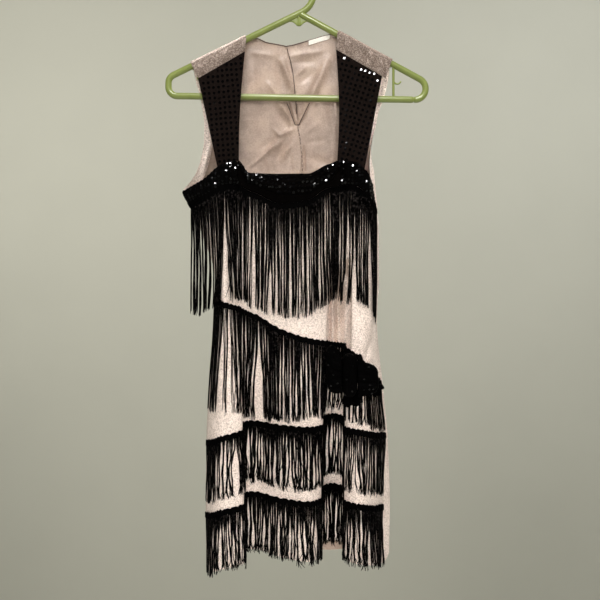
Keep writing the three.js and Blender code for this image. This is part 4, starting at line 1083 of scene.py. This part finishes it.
fringe = {
    "tapeWall": 1.4, "sides": 4, "depth": 1.7, "ripple": (0.75, 0.5), "tapeColumns": 430,
    "groupEnd": 2.4, "threadEnd": 1.7, "loners": 0.08, "gapClear": 2.5, "curlFrom": 0.82,
    "waves": ((1.0, 0.9), (2.6, 0.55), (5.0, 0.3), (8.0, 0.15)),  # turns down a thread, share of the wander
    "taper": ((0, 0.9, 1), (1, 0.9, 0.5)), "uneven": (0.8, 1.15),
}
longRow = {"steps": 21, "group": (2.5, 7), "loosen": 0.5, "drift": 1.2, "stray": 0.04, "strayReach": 6}
skirtRow = {"steps": 19, "group": (2.5, 7.5), "squeeze": (0.55, 1.0), "loosen": 0.4, "hang": 1.2,
            "bunched": 0.15, "strayReach": 9}
fringeRows = {
    # a gap has its fold place, its width and how far down it starts to open and closes again, 2 if it
    # stays open; a density has its fold place, reach and how many more or fewer threads it adds
    "bust": {
        **longRow, "top": bandEdge, "end": lambda s: bandLow(s) - dress["bustFringe"],
        "count": 535, "radius": 0.67, "hang": 6, "bunched": 0.28, "squeeze": (0.25, 0.9),
        "wander": 0.45, "curl": 0.8, "seed": 31,
        "gaps": [(1.95, 14, 0.0, 2), (3.4, 3, 0.1, 2), (4.34, 4, 0.0, 2), (5.15, 7, 0.1, 2),
                 (5.67, 5, 0.35, 2), (6.32, 3, 0.1, 2), (6.82, 4, 0.1, 2), (7.5, 3, 0.3, 1.1),
                 (12.0, 4.5, 0.0, 2), (12.8, 4, 0.1, 2), (14.2, 9, 0.05, 2)],
        "density": [(0.9, 0.9, 1.0), (2.65, 0.35, 1.6), (8.6, 1.0, 0.6), (11.4, 2.0, 1.2), (14.8, 0.4, 0.8)],
    },
    "hip": {
        **longRow, "top": foldCurve["hipTape"], "end": foldCurve["hipEnd"],
        "count": 545, "radius": 0.64, "hang": 1.5, "bunched": 0.3, "squeeze": (0.25, 0.85),
        "wander": 0.5, "curl": 1.6, "seed": 32,
        "gaps": [(2.02, 10, 0.0, 2), (2.35, 9, 0.1, 2), (3.0, 3, 0.2, 2), (5.28, 19, 0.1, 2),
                 (6.05, 3, 0.2, 2), (6.89, 3, 0.3, 2), (7.5, 3, 0.2, 2), (0.7, 3, 0.1, 2),
                 (3.75, 3, 0.1, 2)],
        "density": [(0.3, 0.5, 0.9), (2.2, 0.5, -0.4), (4.3, 0.5, 0.6), (5.72, 0.22, 2.4), (7.0, 1.4, 0.5),
                    (12.5, 1.5, 0.2)],
    },
    "upper_skirt": {
        **skirtRow, "top": upperTop, "end": lambda s: upperTop(s) - dress["upperFringe"],
        "count": 645, "radius": 0.68, "drift": 1.8, "wander": 0.8, "curl": 2.4, "stray": 0.05, "seed": 33,
        "gaps": [(1.5, 4, 0.1, 2), (2.62, 9, 0.2, 1.05), (5.4, 3, 0.3, 2), (6.3, 5, 0.4, 2),
                 (7.3, 5, 0.4, 2), (12.8, 5, 0.2, 2), (13.7, 4, 0.2, 2)],
        "density": [(1.8, 1.6, -0.35), (5.6, 1.8, 0.5), (10, 1.0, 1.05), (13.2, 1.6, -0.3)],
    },
    "lower_skirt": {
        **skirtRow, "top": lowerTop, "end": lambda s: lowerTop(s) - dress["lowerFringe"],
        "count": 635, "radius": 0.70, "drift": 2.0, "wander": 0.85, "curl": 3.0, "stray": 0.06, "seed": 34,
        "gaps": [(2.0, 5, 0.2, 1.1), (4.4, 4, 0.1, 2), (5.6, 4, 0.3, 2), (6.6, 5, 0.3, 2),
                 (7.4, 4, 0.3, 1.2), (12.5, 7, 0.1, 2), (13.6, 6, 0.2, 2)],
        "density": [(1.8, 1.6, -0.2), (10, 1.0, 0.45), (13.2, 1.2, -0.25)],
    },
}


def tapeAt(look, s, v, lift):
    # the tape is gathered a little as it is sewn on, so it ripples along both edges
    under = look is fringeRows["bust"]  # its top edge lies straight along the band
    ripple = fringe["ripple"][0] * np.sin(s * 23) + fringe["ripple"][1] * np.sin(s * 41 + 1)
    ripple = ripple * np.where(under, v, 1)
    z = look["top"](s) - dress["tapeHeight"] * v + ripple + 0.25 * under * (1 - v)
    off = sewnOn + lift + 0.5 + 0.45 * np.sin(s * 31 + 2 * v) + 0.3 * np.sin(s * 57)
    return frontAt(s, z, off)


def threadRoots(look, rng, fine, arc):
    # where each thread leaves the tape, as a length along it: closer together where the row is denser
    denser = sum(extra * bell(fine - place, reach) for place, reach, extra in look["density"])
    density = np.gradient(arc) * (1 + denser)
    filled = np.cumsum(density) / density.sum()
    count = look["count"]
    return np.interp((np.arange(count) + rng.uniform(0, 1, count)) / count, filled, arc)


def threadGroups(look, rng, root, gapArc, end):
    # threads hang in groups that part at the gaps: each thread's group middle, and what its group shares
    cuts = np.cumsum(rng.uniform(*look["group"], 200))
    cuts = cuts[(cuts < end) & (np.abs(cuts[:, None] - gapArc).min(1) > fringe["gapClear"])]
    cuts = np.sort(np.concatenate([[0], cuts, gapArc, [end]]))
    which = np.clip(np.searchsorted(cuts, root) - 1, 0, len(cuts) - 2)
    count = len(cuts)
    shared = {
        "squeeze": rng.uniform(*look["squeeze"], count), "tightest": rng.uniform(0.2, 1.0, count),
        "drift": rng.normal(0, look["drift"], count), "end": rng.normal(0, fringe["groupEnd"], count),
        "layer": rng.uniform(0, 1, count), "swayTurns": rng.uniform(0.6, 1.8, count),
        "swayStart": rng.uniform(0, 1, count),
    }
    middle = (cuts[:-1] + cuts[1:]) / 2
    return middle[which][:, None], {key: draw[which][:, None] for key, draw in shared.items()}


def gapOpening(v, start, end):
    # how far a gap stands open at v down the row; it closes again at `end`, unless that is 2
    if end == 2:
        return ease((v - start) / (1 - start))
    return np.sin(np.pi * np.clip((v - start) / (end - start), 0, 1)) ** 0.8


def threadPaths(look):
    # each thread starts on the tape and follows the panel's folds; groups draw together, are
    # tightest part of the way down and loosen again, and the named gaps push them apart
    rng = np.random.default_rng(look["seed"])
    fine = np.linspace(0, lastFold, 1200)
    arc = runAlong(frontAt(fine, look["top"](fine) - dress["tapeHeight"], sewnOn))
    gapArc = np.interp([g[0] for g in look["gaps"]], fine, arc)
    count = look["count"]
    root = threadRoots(look, rng, fine, arc)
    middle, perGroup = threadGroups(look, rng, root, gapArc, arc[-1])
    v = np.linspace(0, 1, look["steps"])[None, :]
    root = root[:, None]
    tight = perGroup["tightest"]
    drawn = perGroup["squeeze"] * mix(look["bunched"], 1, ease(v / tight))
    drawn = drawn * (1 - look["loosen"] * ease((v - tight) / 0.5))
    turns = v * perGroup["swayTurns"] + perGroup["swayStart"]
    sway = look["wander"] * np.sin(2 * np.pi * turns) * ease(v * 2)
    place = root + (middle - root) * drawn + perGroup["drift"] * v ** 2 + sway
    joins = rng.random((count, 1)) > fringe["loners"]
    for at, (_, width, start, end) in zip(gapArc, look["gaps"]):
        away = root - at
        pushed = joins * width / 2 * np.sign(away) * bell(away, 1.1 * width + 3)
        place = place + pushed * gapOpening(v, start, end)
    for turns, size in fringe["waves"]:
        wave = v * turns * rng.uniform(0.7, 1.4, (count, 1)) + rng.uniform(0, 1, (count, 1))
        place = place + look["wander"] * size * np.sin(2 * np.pi * wave) * (0.25 + 0.75 * v)
    nearEnd = np.clip((v - fringe["curlFrom"]) / (1 - fringe["curlFrom"]), 0, 1)
    place = place + rng.normal(0, look["curl"], (count, 1)) * nearEnd ** 1.6
    stray = rng.random((count, 1)) < look["stray"]
    place = place + stray * rng.normal(0, look["strayReach"], (count, 1)) * v ** 1.6
    s = np.interp(np.clip(place, 0.3, arc[-1] - 0.3), arc, fine)
    rootS = np.interp(root, arc, fine)
    uneven = perGroup["end"] + rng.normal(0, fringe["threadEnd"], (count, 1)) + 2
    z = mix(look["top"](rootS) - dress["tapeHeight"] + 2, look["end"](s[:, -1:]) + uneven, v)
    layer = fringe["depth"] * (0.5 * rng.uniform(0, 1, (count, 1)) + 0.5 * perGroup["layer"])
    off = mix(sewnOn + 0.7, dress["cloth"] + 0.75, ease(v * 2.5)) + layer * (0.35 + 0.65 * v)
    side = np.clip(1 - np.minimum(s, lastFold - s), 0, 1)
    loose = ease((dress["looseEnd"] - s) / dress["looseEnd"]) * (look is fringeRows["bust"])
    ahead = np.maximum(side, loose)
    swing = look["hang"] * v * rng.uniform(0.6, 1.0, (count, 1))
    path = frontAt(s, z, off + swing * (1 - ahead), None, swing * ahead)
    hung = frontAt(s, look["top"](s) - dress["tapeHeight"], off)
    path[..., 0] = mix(path[..., 0], hung[..., 0], loose)
    return path


tapes, threads = {}, {}
for name, look in fringeRows.items():
    s = np.linspace(0, lastFold, fringe["tapeColumns"])[None, :]
    v = np.linspace(0, 1, 5)[:, None]
    tapes[name] = clothPiece(f"tape_{name}", "black_tape", lambda lift: tapeAt(look, s, v, lift),
                             [tapeCloth], fringe["tapeWall"])
    paths = threadPaths(look)
    thick = np.random.default_rng(look["seed"]).uniform(*fringe["uneven"], (len(paths), 1))
    taper = thick * np.interp(np.linspace(0, 1, look["steps"]), *fringe["taper"])[None, :]
    parts = tubeArrays(paths, look["radius"] * taper, fringe["sides"])
    threads[name] = smallPiece(f"fringe_{name}_threads", "black_fringe", parts, thread, f"fringe_{name}",
                               sharp=180)
    print("fringe made:", name, len(paths), "threads")


# bow at the hip

bow = {
    "knot": (77, -631), "out": 47.5, "lean": 0.13, "knotWidth": 26, "knotHeight": 66, "knotDepth": 22,
    "tailDepth": 0.8, "corner": 7, "crush": 2.2,
    "lengthways": 64, "crossways": 54, "knotSides": 60, "knotRows": 48,  # points on the grids
    "sequinPitch": 6.4, "sequinShare": 0.7, "sequinTilt": 0.22, "missing": 0.62, "seed": 40,
    "loops": {  # above says how far the top edge rises on its way out
        "bow_loop_left": {"tip": (41, -618), "waist": 60, "width": 76, "puff": 20, "phase": 0.3, "seed": 51,
                          "above": (0, 1, 0, 1, 0)},
        "bow_loop_right": {"tip": (122, -638), "waist": 60, "width": 46, "puff": 18, "phase": 1.7, "seed": 52,
                           "above": (1, 6, -4.5, -1.5, 0)},
    },
    "tails": {
        "bow_tail_low": {"tip": (83, -679), "waist": 14, "width": 32, "phase": 0.9},
        "bow_tail_right": {"tip": (127, -657), "waist": 10, "width": 24, "phase": 2.3},
    },
}
bowClear = bow["knotWidth"] / 2 + dress["seamGap"]  # loops and tails start beside the knot


def crushed(a, b, seed):
    # cloth gathered by hand: creases at chance angles, each sharp along its crest
    rng = np.random.default_rng(seed)
    rise = np.zeros(np.broadcast(a, b).shape)
    for turn in np.linspace(0, np.pi, 7)[:-1] + rng.uniform(0, 0.4, 6):
        across = (a * np.cos(turn) + b * np.sin(turn)) * rng.uniform(4, 9) + rng.uniform(0, 6)
        crest = 1 - np.abs(np.sin(across + 0.7 * np.sin(2.3 * a + 1.7 * b)))
        rise = rise + crest ** 1.6 * rng.uniform(0.4, 1)
    return rise / 3 - 0.4


def bowFrame(tip):
    root = np.array([bow["knot"][0], -bow["out"], bow["knot"][1]], float)
    along = np.array([tip[0], -bow["out"], tip[1]], float) - root
    reach = np.linalg.norm(along)
    return root, along / reach, reach


def bowSurface(root, along, out, across, width, depth):
    # out along the piece, across it, and towards the viewer, leaning with the skirt's slope
    points = root + along * out[..., None] + across * width[..., None]
    points[..., 1] -= depth + (bow["knot"][1] - points[..., 2]) * bow["lean"]
    return points


def loopAt(look, u, v, lift):
    # u runs out along the back of the loop, round its end and back along its front; v is across;
    # gathers fan out from the knot and the end's corners are rounded
    root, along, reach = bowFrame(look["tip"])
    turned = np.pi * np.clip(u, 0, 1)
    far = np.sin(turned) ** 0.7
    half = mix(look["waist"], look["width"], far) / 2 - bow["corner"] * 0.3 * bell(far - 1, 0.25)
    half = half + calmCurve((0, 0.2, 0.38, 0.8, 1), look["above"])(far) * ease(v * 1.5)
    gather = 1.5 * np.sin(v * 8 + look["phase"] + 2 * u) * (1 - 0.6 * far)
    gather = gather + 0.8 * np.sin(v * 15 + 3 * look["phase"])
    gather = gather + bow["crush"] * 2 * crushed(u * 1.6, v, look["seed"])
    depth = look["puff"] / 2 - lift + gather * np.where(u > 0.5, -1, 0.4) * 0.9
    rounded = bow["corner"] * np.abs(v) ** 5 + 1.2 * (0.5 - crushed(v * 1.3, v * 0.4, look["seed"] + 5))
    out = bowClear + (reach - bowClear - lift - rounded) * far
    middle = bow["tailDepth"] + dress["layerGap"] + dress["cloth"] + look["puff"] / 2
    return bowSurface(root, along, out, np.array([0, 0, 1.0]), half * v, middle - depth * np.cos(turned))


def tailAt(look, u, v, lift):
    # u runs from the knot to the ragged end, v is across; the tail widens and ripples on its way
    root, along, reach = bowFrame(look["tip"])
    half = mix(look["waist"], look["width"], ease(u)) / 2
    ripple = np.sin(v * 6 + look["phase"]) * u
    ragged = 1 - 0.1 * np.abs(v) ** 3 - 0.05 * np.sin(v * 7 + look["phase"])
    out = bowClear + (reach - bowClear) * u * ragged
    depth = bow["tailDepth"] * (1 - v * v) + dress["cloth"] - lift + ripple
    return bowSurface(root, along, out, np.cross([0, 1.0, 0], along), half * v, depth)


def knotAt(u, v):
    # an upright band pulled tight: u round it, v from its lower end to its upper, creased lengthways
    turned, climb = 2 * np.pi * u, np.pi * (v - 0.5)
    crease = 1 + 0.07 * np.sin(turned * 5 + 1.3 * np.sin(climb * 2)) + 0.05 * np.sin(turned * 3 + v * 9)
    x = bow["knot"][0] + bow["knotWidth"] / 2 * np.cos(turned) * np.cos(climb) ** 0.6 * crease
    depth = bow["out"] + bow["tailDepth"] + 2 * dress["layerGap"] + dress["cloth"] + bow["knotDepth"] / 2
    y = -depth + bow["knotDepth"] / 2 * np.sin(turned) * np.cos(climb) ** 0.6 * crease
    z = bow["knot"][1] + bow["knotHeight"] / 2 * np.sin(climb)
    return np.stack([x, y, z], -1)


def bowCloth(name, face, look, lengthways, reach):
    # one loop or tail, and the spots for its sequins
    grid = np.meshgrid(np.linspace(0, 1, bow["lengthways"]), np.linspace(-1, 1, bow["crossways"]))
    piece = clothPiece(name, "sequin_cloth", lambda lift: face(look, *grid, dress["cloth"] - lift),
                       [crushedGround])
    across = np.arange(-reach, reach + 0.03, 2 * bow["sequinPitch"] / look["width"])
    return piece, gridOn(lambda a, b: face(look, a, b, -0.2), lengthways, across)


loops, tails, bowSpots = {}, {}, []
for name, look in bow["loops"].items():
    loops[name], spots = bowCloth(name, loopAt, look, np.linspace(0.52, 0.95, 6), 0.9)
    bowSpots.append(spots)
for name, look in bow["tails"].items():
    tails[name], spots = bowCloth(name, tailAt, look, np.linspace(0.2, 0.9, 5), 0.8)
    bowSpots.append(spots)
sides, rows = bow["knotSides"], bow["knotRows"]
knotPoints = knotAt(*np.meshgrid(np.arange(sides) / sides, np.linspace(0.02, 0.98, rows))).reshape(-1, 3)
ends = knotAt(np.zeros(2), np.array([0.0, 1.0]))
count, ring = len(knotPoints), np.arange(sides)
onward, lastRing = np.roll(ring, -1), (rows - 1) * sides
tris = np.concatenate([np.stack([ring, onward, np.full(sides, count)], -1),
                       np.stack([onward + lastRing, ring + lastRing, np.full(sides, count + 1)], -1)])
parts = np.concatenate([knotPoints, ends]), gridQuads(rows, sides, True), tris, np.zeros((count + 2, 2))
knot = smallPiece("bow_knot_cloth", "sequin_cloth", parts, crushedGround, "bow_knot")
bowSpots.append(gridOn(lambda a, b: knotAt(a, b) - [0, 0.2, 0], np.linspace(0.56, 0.94, 4),
                       np.linspace(0.14, 0.86, 8)))
centres, normals = (np.concatenate(a) for a in zip(*bowSpots))
kept = np.random.default_rng(bow["seed"]).random(len(centres)) > bow["missing"]
parts = sequinArrays(centres[kept], normals[kept], sequinShape["radius"] * bow["sequinShare"],
                     bow["sequinTilt"], bow["seed"] + 1)
bowSequins = smallPiece("bow_sequins", "sequin_cloth", parts, sequin)
print("bow made")


# neck label, left blank

label = {"from": (15.5, -103), "to": (49.5, -93), "height": 7, "wall": 1, "curl": 0.5}


def labelFace(lift):
    a, v = np.meshgrid(np.linspace(0, 1, 40), np.linspace(-0.5, 0.5, 12))
    x = mix(label["from"][0], label["to"][0], a)
    z = mix(label["from"][1], label["to"][1], a) + label["height"] * v
    out = back["neckOut"] + 4 * dress["seamGap"] + label["curl"] * np.sin(np.pi * a) * (0.4 + v)
    return np.stack([x, -(out + lift), z], -1)


labelPiece = clothPiece("neck_label", "label_tape", labelFace, [labelCloth], label["wall"])
print("label made")


# hanger

def arcPoints(centre, radius, start, end, count):
    angle = np.radians(np.linspace(start, end, count))
    x, z = centre[0] + radius * np.cos(angle), centre[1] + radius * np.sin(angle)
    return np.stack([x, np.zeros(count), z], -1)


def endLoop(side):
    # the corner from the arm into the upright end and on into the bar
    sign = -1 if side == "left" else 1
    slope, bend, endX = hanger[side + "Slope"], hanger[side + "Bend"], hanger[side + "End"]
    upper = (endX - sign * bend * math.sin(math.radians(slope)) * 0.2,
             float(armZ(endX)) - bend / math.cos(math.radians(slope)))
    low = (upper[0], apexZ + hanger["bar" + side.capitalize()] + bend)
    start, upright = (90 + slope, 180) if side == "left" else (90 - slope, 0)
    return np.concatenate([arcPoints(upper, bend, start, upright, 14),
                           arcPoints(low, bend, upright, 270 if side == "left" else -90, 20)])


def hookPath():
    slope = math.radians(hanger["leftSlope"])
    start = (hanger["neckStart"] * math.cos(slope), apexZ + hanger["neckStart"] * math.sin(slope))
    lower = (start[0] - hanger["neck"] * math.sin(slope), start[1] + hanger["neck"] * math.cos(slope))
    crown = (lower[0] + hanger["neck"] - hanger["crown"], lower[1] + hanger["stem"])
    return np.concatenate([arcPoints(lower, hanger["neck"], -90 + hanger["leftSlope"], 0, 20),
                           arcPoints(crown, hanger["crown"], 0, 180, 44),
                           [[crown[0] - hanger["crown"], 0, crown[1] - hanger["tip"]]]])


def roundTube(points, radius, sides=28, step=3.0, domed=True):
    path = evenPath(points, step)
    size = np.full(len(path), float(radius))
    if domed:  # the moulded ends are rounded
        run = np.arange(len(path)) * step
        rest = np.minimum(run, run[::-1])
        size = size * np.sqrt(np.clip(1 - (1 - np.clip(rest / radius, 0, 1)) ** 2, 0.02, 1))
    return tubeArrays(path[None], size[None], sides)


leftLoop, rightLoop = endLoop("left"), endLoop("right")
main = np.concatenate([hookPath()[::-1], leftLoop, rightLoop[-1:]])
rightArm = np.concatenate([[rightLoop[-1] - [4, 0, 0]], rightLoop[::-1], [[0, 0, apexZ]]])
parts = [roundTube(main, hanger["tube"]), roundTube(rightArm, hanger["tube"] - 0.05)]
for sign in (-1, 1):
    x = sign * hanger["strut"]
    along = (x - hanger["leftEnd"]) / (hanger["rightEnd"] - hanger["leftEnd"])
    arm, bar = float(armZ(x)), apexZ + mix(hanger["barLeft"], hanger["barRight"], along)
    parts.append(roundTube(np.array([[x, 0, arm], [x, 0, bar]]), hanger["strutRadius"], 16, 2.0, False))
    start, end = (180, 350) if sign > 0 else (0, -170)
    peg = arcPoints((x + sign * hanger["pegBend"], mix(arm, bar, 0.45)), hanger["pegBend"], start, end, 14)
    parts.append(roundTube(peg, hanger["pegRadius"], 12, 1.0))
# the web under the hook: a flat rib from arm to arm, rounded along its edges, that dips in the middle
columns, sides = 60, 24
webX = np.linspace(-27, 25, columns)
webLow = calmCurve([-27, -12, -7, -3, 0, 3, 7, 12, 25],
                   [-13.2, -13.5, -16, -19.6, -20.4, -19.6, -16, -13.5, -13.2])(webX)
webTop = -np.abs(webX) * 0.5 - 1
around = 2 * np.pi * np.arange(sides) / sides
squareX, squareZ = (np.sign(wave) * np.abs(wave) ** power
                    for wave, power in ((np.cos(around), 0.35), (np.sin(around), 0.5)))
thick = hanger["web"] / 2 * (1 + 0.9 * bell(webX, 1.6)[:, None])
web = np.stack([webX[:, None] + around * 0, thick * squareX,
                apexZ + ((webTop + webLow) / 2)[:, None] + ((webTop - webLow) / 2)[:, None] * squareZ], -1)
fan = np.stack([np.zeros(sides - 2, int), np.arange(1, sides - 1), np.arange(2, sides)], -1)
parts.append((web.reshape(-1, 3), gridQuads(columns, sides, True),
              np.concatenate([fan[:, ::-1], fan + (columns - 1) * sides]), np.zeros((columns * sides, 2))))
hangerPiece = smallPiece("hanger_moulding", "green_plastic", joined(parts), plastic, "hanger", sharp=60)
print("hanger made")


# floor, backdrop, light and camera

def stagePlane(name, corners, colour, roughness):
    material, tree, shader = newMaterial(name, roughness)
    cloud = noiseNode(tree, objectPlace(tree), 3.0, 3.0)
    dim = tuple(c * 0.97 for c in colour)
    tree.links.new(rampNode(tree, cloud, [(0.3, dim), (0.7, colour)]), shader.inputs["Base Color"])
    plane = makePiece(name, np.array(corners, float), [[0, 1, 2, 3]], [], [material])
    return plane


stage = {"floor": -2000, "wall": 2300, "front": -6000, "half": 7000, "top": 5000,
         "floorColour": (0.62, 0.62, 0.58), "wallColour": (0.56, 0.547, 0.463)}
ends = (-stage["half"], stage["half"], stage["half"], -stage["half"])
floor = stagePlane("floor", [(x, y, stage["floor"]) for x, y in zip(
    ends, (stage["front"], stage["front"], stage["wall"], stage["wall"]))], stage["floorColour"], 0.8)
stagePlane("backdrop", [(x, stage["wall"], z) for x, z in zip(
    ends, (stage["floor"], stage["floor"], stage["top"], stage["top"]))], stage["wallColour"], 0.9)

# the room is pale to look at but lights the dress only a little, so that black stays black
room = {"seen": (0.50, 0.51, 0.46, 1), "lighting": (0.17, 0.175, 0.17, 1), "mirrored": (0.04, 0.04, 0.04, 1)}
world = bpy.data.worlds.new("studio")
world.use_nodes = True
tree = world.node_tree
ray = addNode(tree, "ShaderNodeLightPath").outputs
unseen = mixColour(tree, ray["Is Glossy Ray"], room["lighting"], room["mirrored"])
shown = mixColour(tree, ray["Is Camera Ray"], unseen, room["seen"])
tree.links.new(shown, tree.nodes["Background"].inputs["Color"])
bpy.context.scene.world = world
bpy.context.scene.view_settings.view_transform = "Standard"


# lights: place, aim and size in metres, then power in watts, colour and spread in degrees

def softLight(name, place, aim, size, power, colour, spread=180, mirrored=True, scattered=True, onlyOn=()):
    data = bpy.data.lights.new(name, "AREA")
    data.shape, data.size, data.energy, data.color = "DISK", size, power, colour
    data.spread = math.radians(spread)
    lamp = bpy.data.objects.new(name, data)
    bpy.context.scene.collection.objects.link(lamp)
    lamp.location = place
    lamp.visible_glossy = mirrored
    lamp.visible_diffuse = scattered
    if onlyOn:  # it falls on these pieces alone
        lit = bpy.data.collections.new(name + "Pieces")
        for piece in onlyOn:
            lit.objects.link(piece)
        lamp.light_linking.receiver_collection = lit
    direction = np.array(aim, float) - place
    flat = math.hypot(direction[0], direction[1])
    lamp.rotation_euler = (math.atan2(flat, -direction[2]), 0, math.atan2(-direction[0], direction[1]))


softLight("keyLight", (-0.85, -2.0, 0.85), (0, 0, -0.5), 0.7, 22, (1.0, 0.98, 0.95), mirrored=False)
softLight("fillLight", (1.3, -1.8, 0.7), (0, 0, -0.5), 0.7, 22, (1.0, 0.98, 0.95), mirrored=False)
softLight("frontLight", (0.0, -2.0, -0.8), (0, 0, -0.82), 0.9, 2.0, (1.0, 0.99, 0.98), 45, mirrored=False,
          onlyOn=(frontCloth,))
softLight("hemLight", (0.14, -2.0, -1.1), (0.14, 0, -0.95), 0.3, 0.42, (1.0, 0.99, 0.98), 20, mirrored=False,
          onlyOn=(backCloth["right"],))
softLight("neckLight", (0.3, -2.0, -0.5), (0.12, 0, -0.32), 0.5, 0.5, (1.0, 0.99, 0.98), 22, mirrored=False,
          onlyOn=(*backCloth.values(), labelPiece))
softLight("topLight", (-0.1, -0.7, 1.2), (0, 0, -0.3), 0.14, 8, (1.0, 0.98, 0.95))
softLight("overLight", (-0.42, 0.02, 1.05), (-0.12, 0, -0.1), 0.3, 4.2, (1.0, 0.99, 0.97), 60,
          onlyOn=yokeCloth.values())
softLight("sheenLight", (-0.2, -1.7, 1.1), (0, 0, -0.3), 0.5, 30, (1.0, 0.97, 0.94), scattered=False,
          onlyOn=(*backCloth.values(), *yokeCloth.values(), frontCloth))
softLight("plasticLight", (0.1, -1.3, 0.8), (0, 0, -0.2), 0.4, 20, (1.0, 1.0, 0.97), scattered=False,
          onlyOn=(hangerPiece,))
softLight("glintLight", glintFrom * mm, (0, 0, -0.25), 0.3, 70, (1.0, 1.0, 1.0), scattered=False,
          onlyOn=(strapSequins["right"], bandSequins))
softLight("wallLightLeft", (-1.5, 0.7, 0.4), (-0.15, 2.3, -0.15), 1.2, 17, (1.0, 0.995, 0.95), mirrored=False)
softLight("wallLightRight", (1.5, 0.7, 0.7), (0.25, 2.3, 0.0), 1.2, 16, (0.96, 0.985, 1.0), mirrored=False)
softLight("floorLight", (0, 0, 1.5), (0, 0, -2), 4.0, 50, (1.0, 1.0, 0.98), mirrored=False, onlyOn=(floor,))
softLight("backLight", (1.0, 1.7, 1.3), (0, 0, -0.5), 0.5, 5, (0.97, 0.98, 1.0), 60, mirrored=False)

# the camera looks straight back at the dress
camera = bpy.data.objects.new("camera", bpy.data.cameras.new("camera"))
bpy.context.scene.collection.objects.link(camera)
camera.location = viewer * mm
camera.rotation_euler = (math.pi / 2, 0, 0)
camera.data.lens = 48.75
camera.data.sensor_width = 36
camera.data.clip_end = 30
bpy.context.scene.camera = camera
print("stage, lights and camera made")


for side in ("left", "right"):
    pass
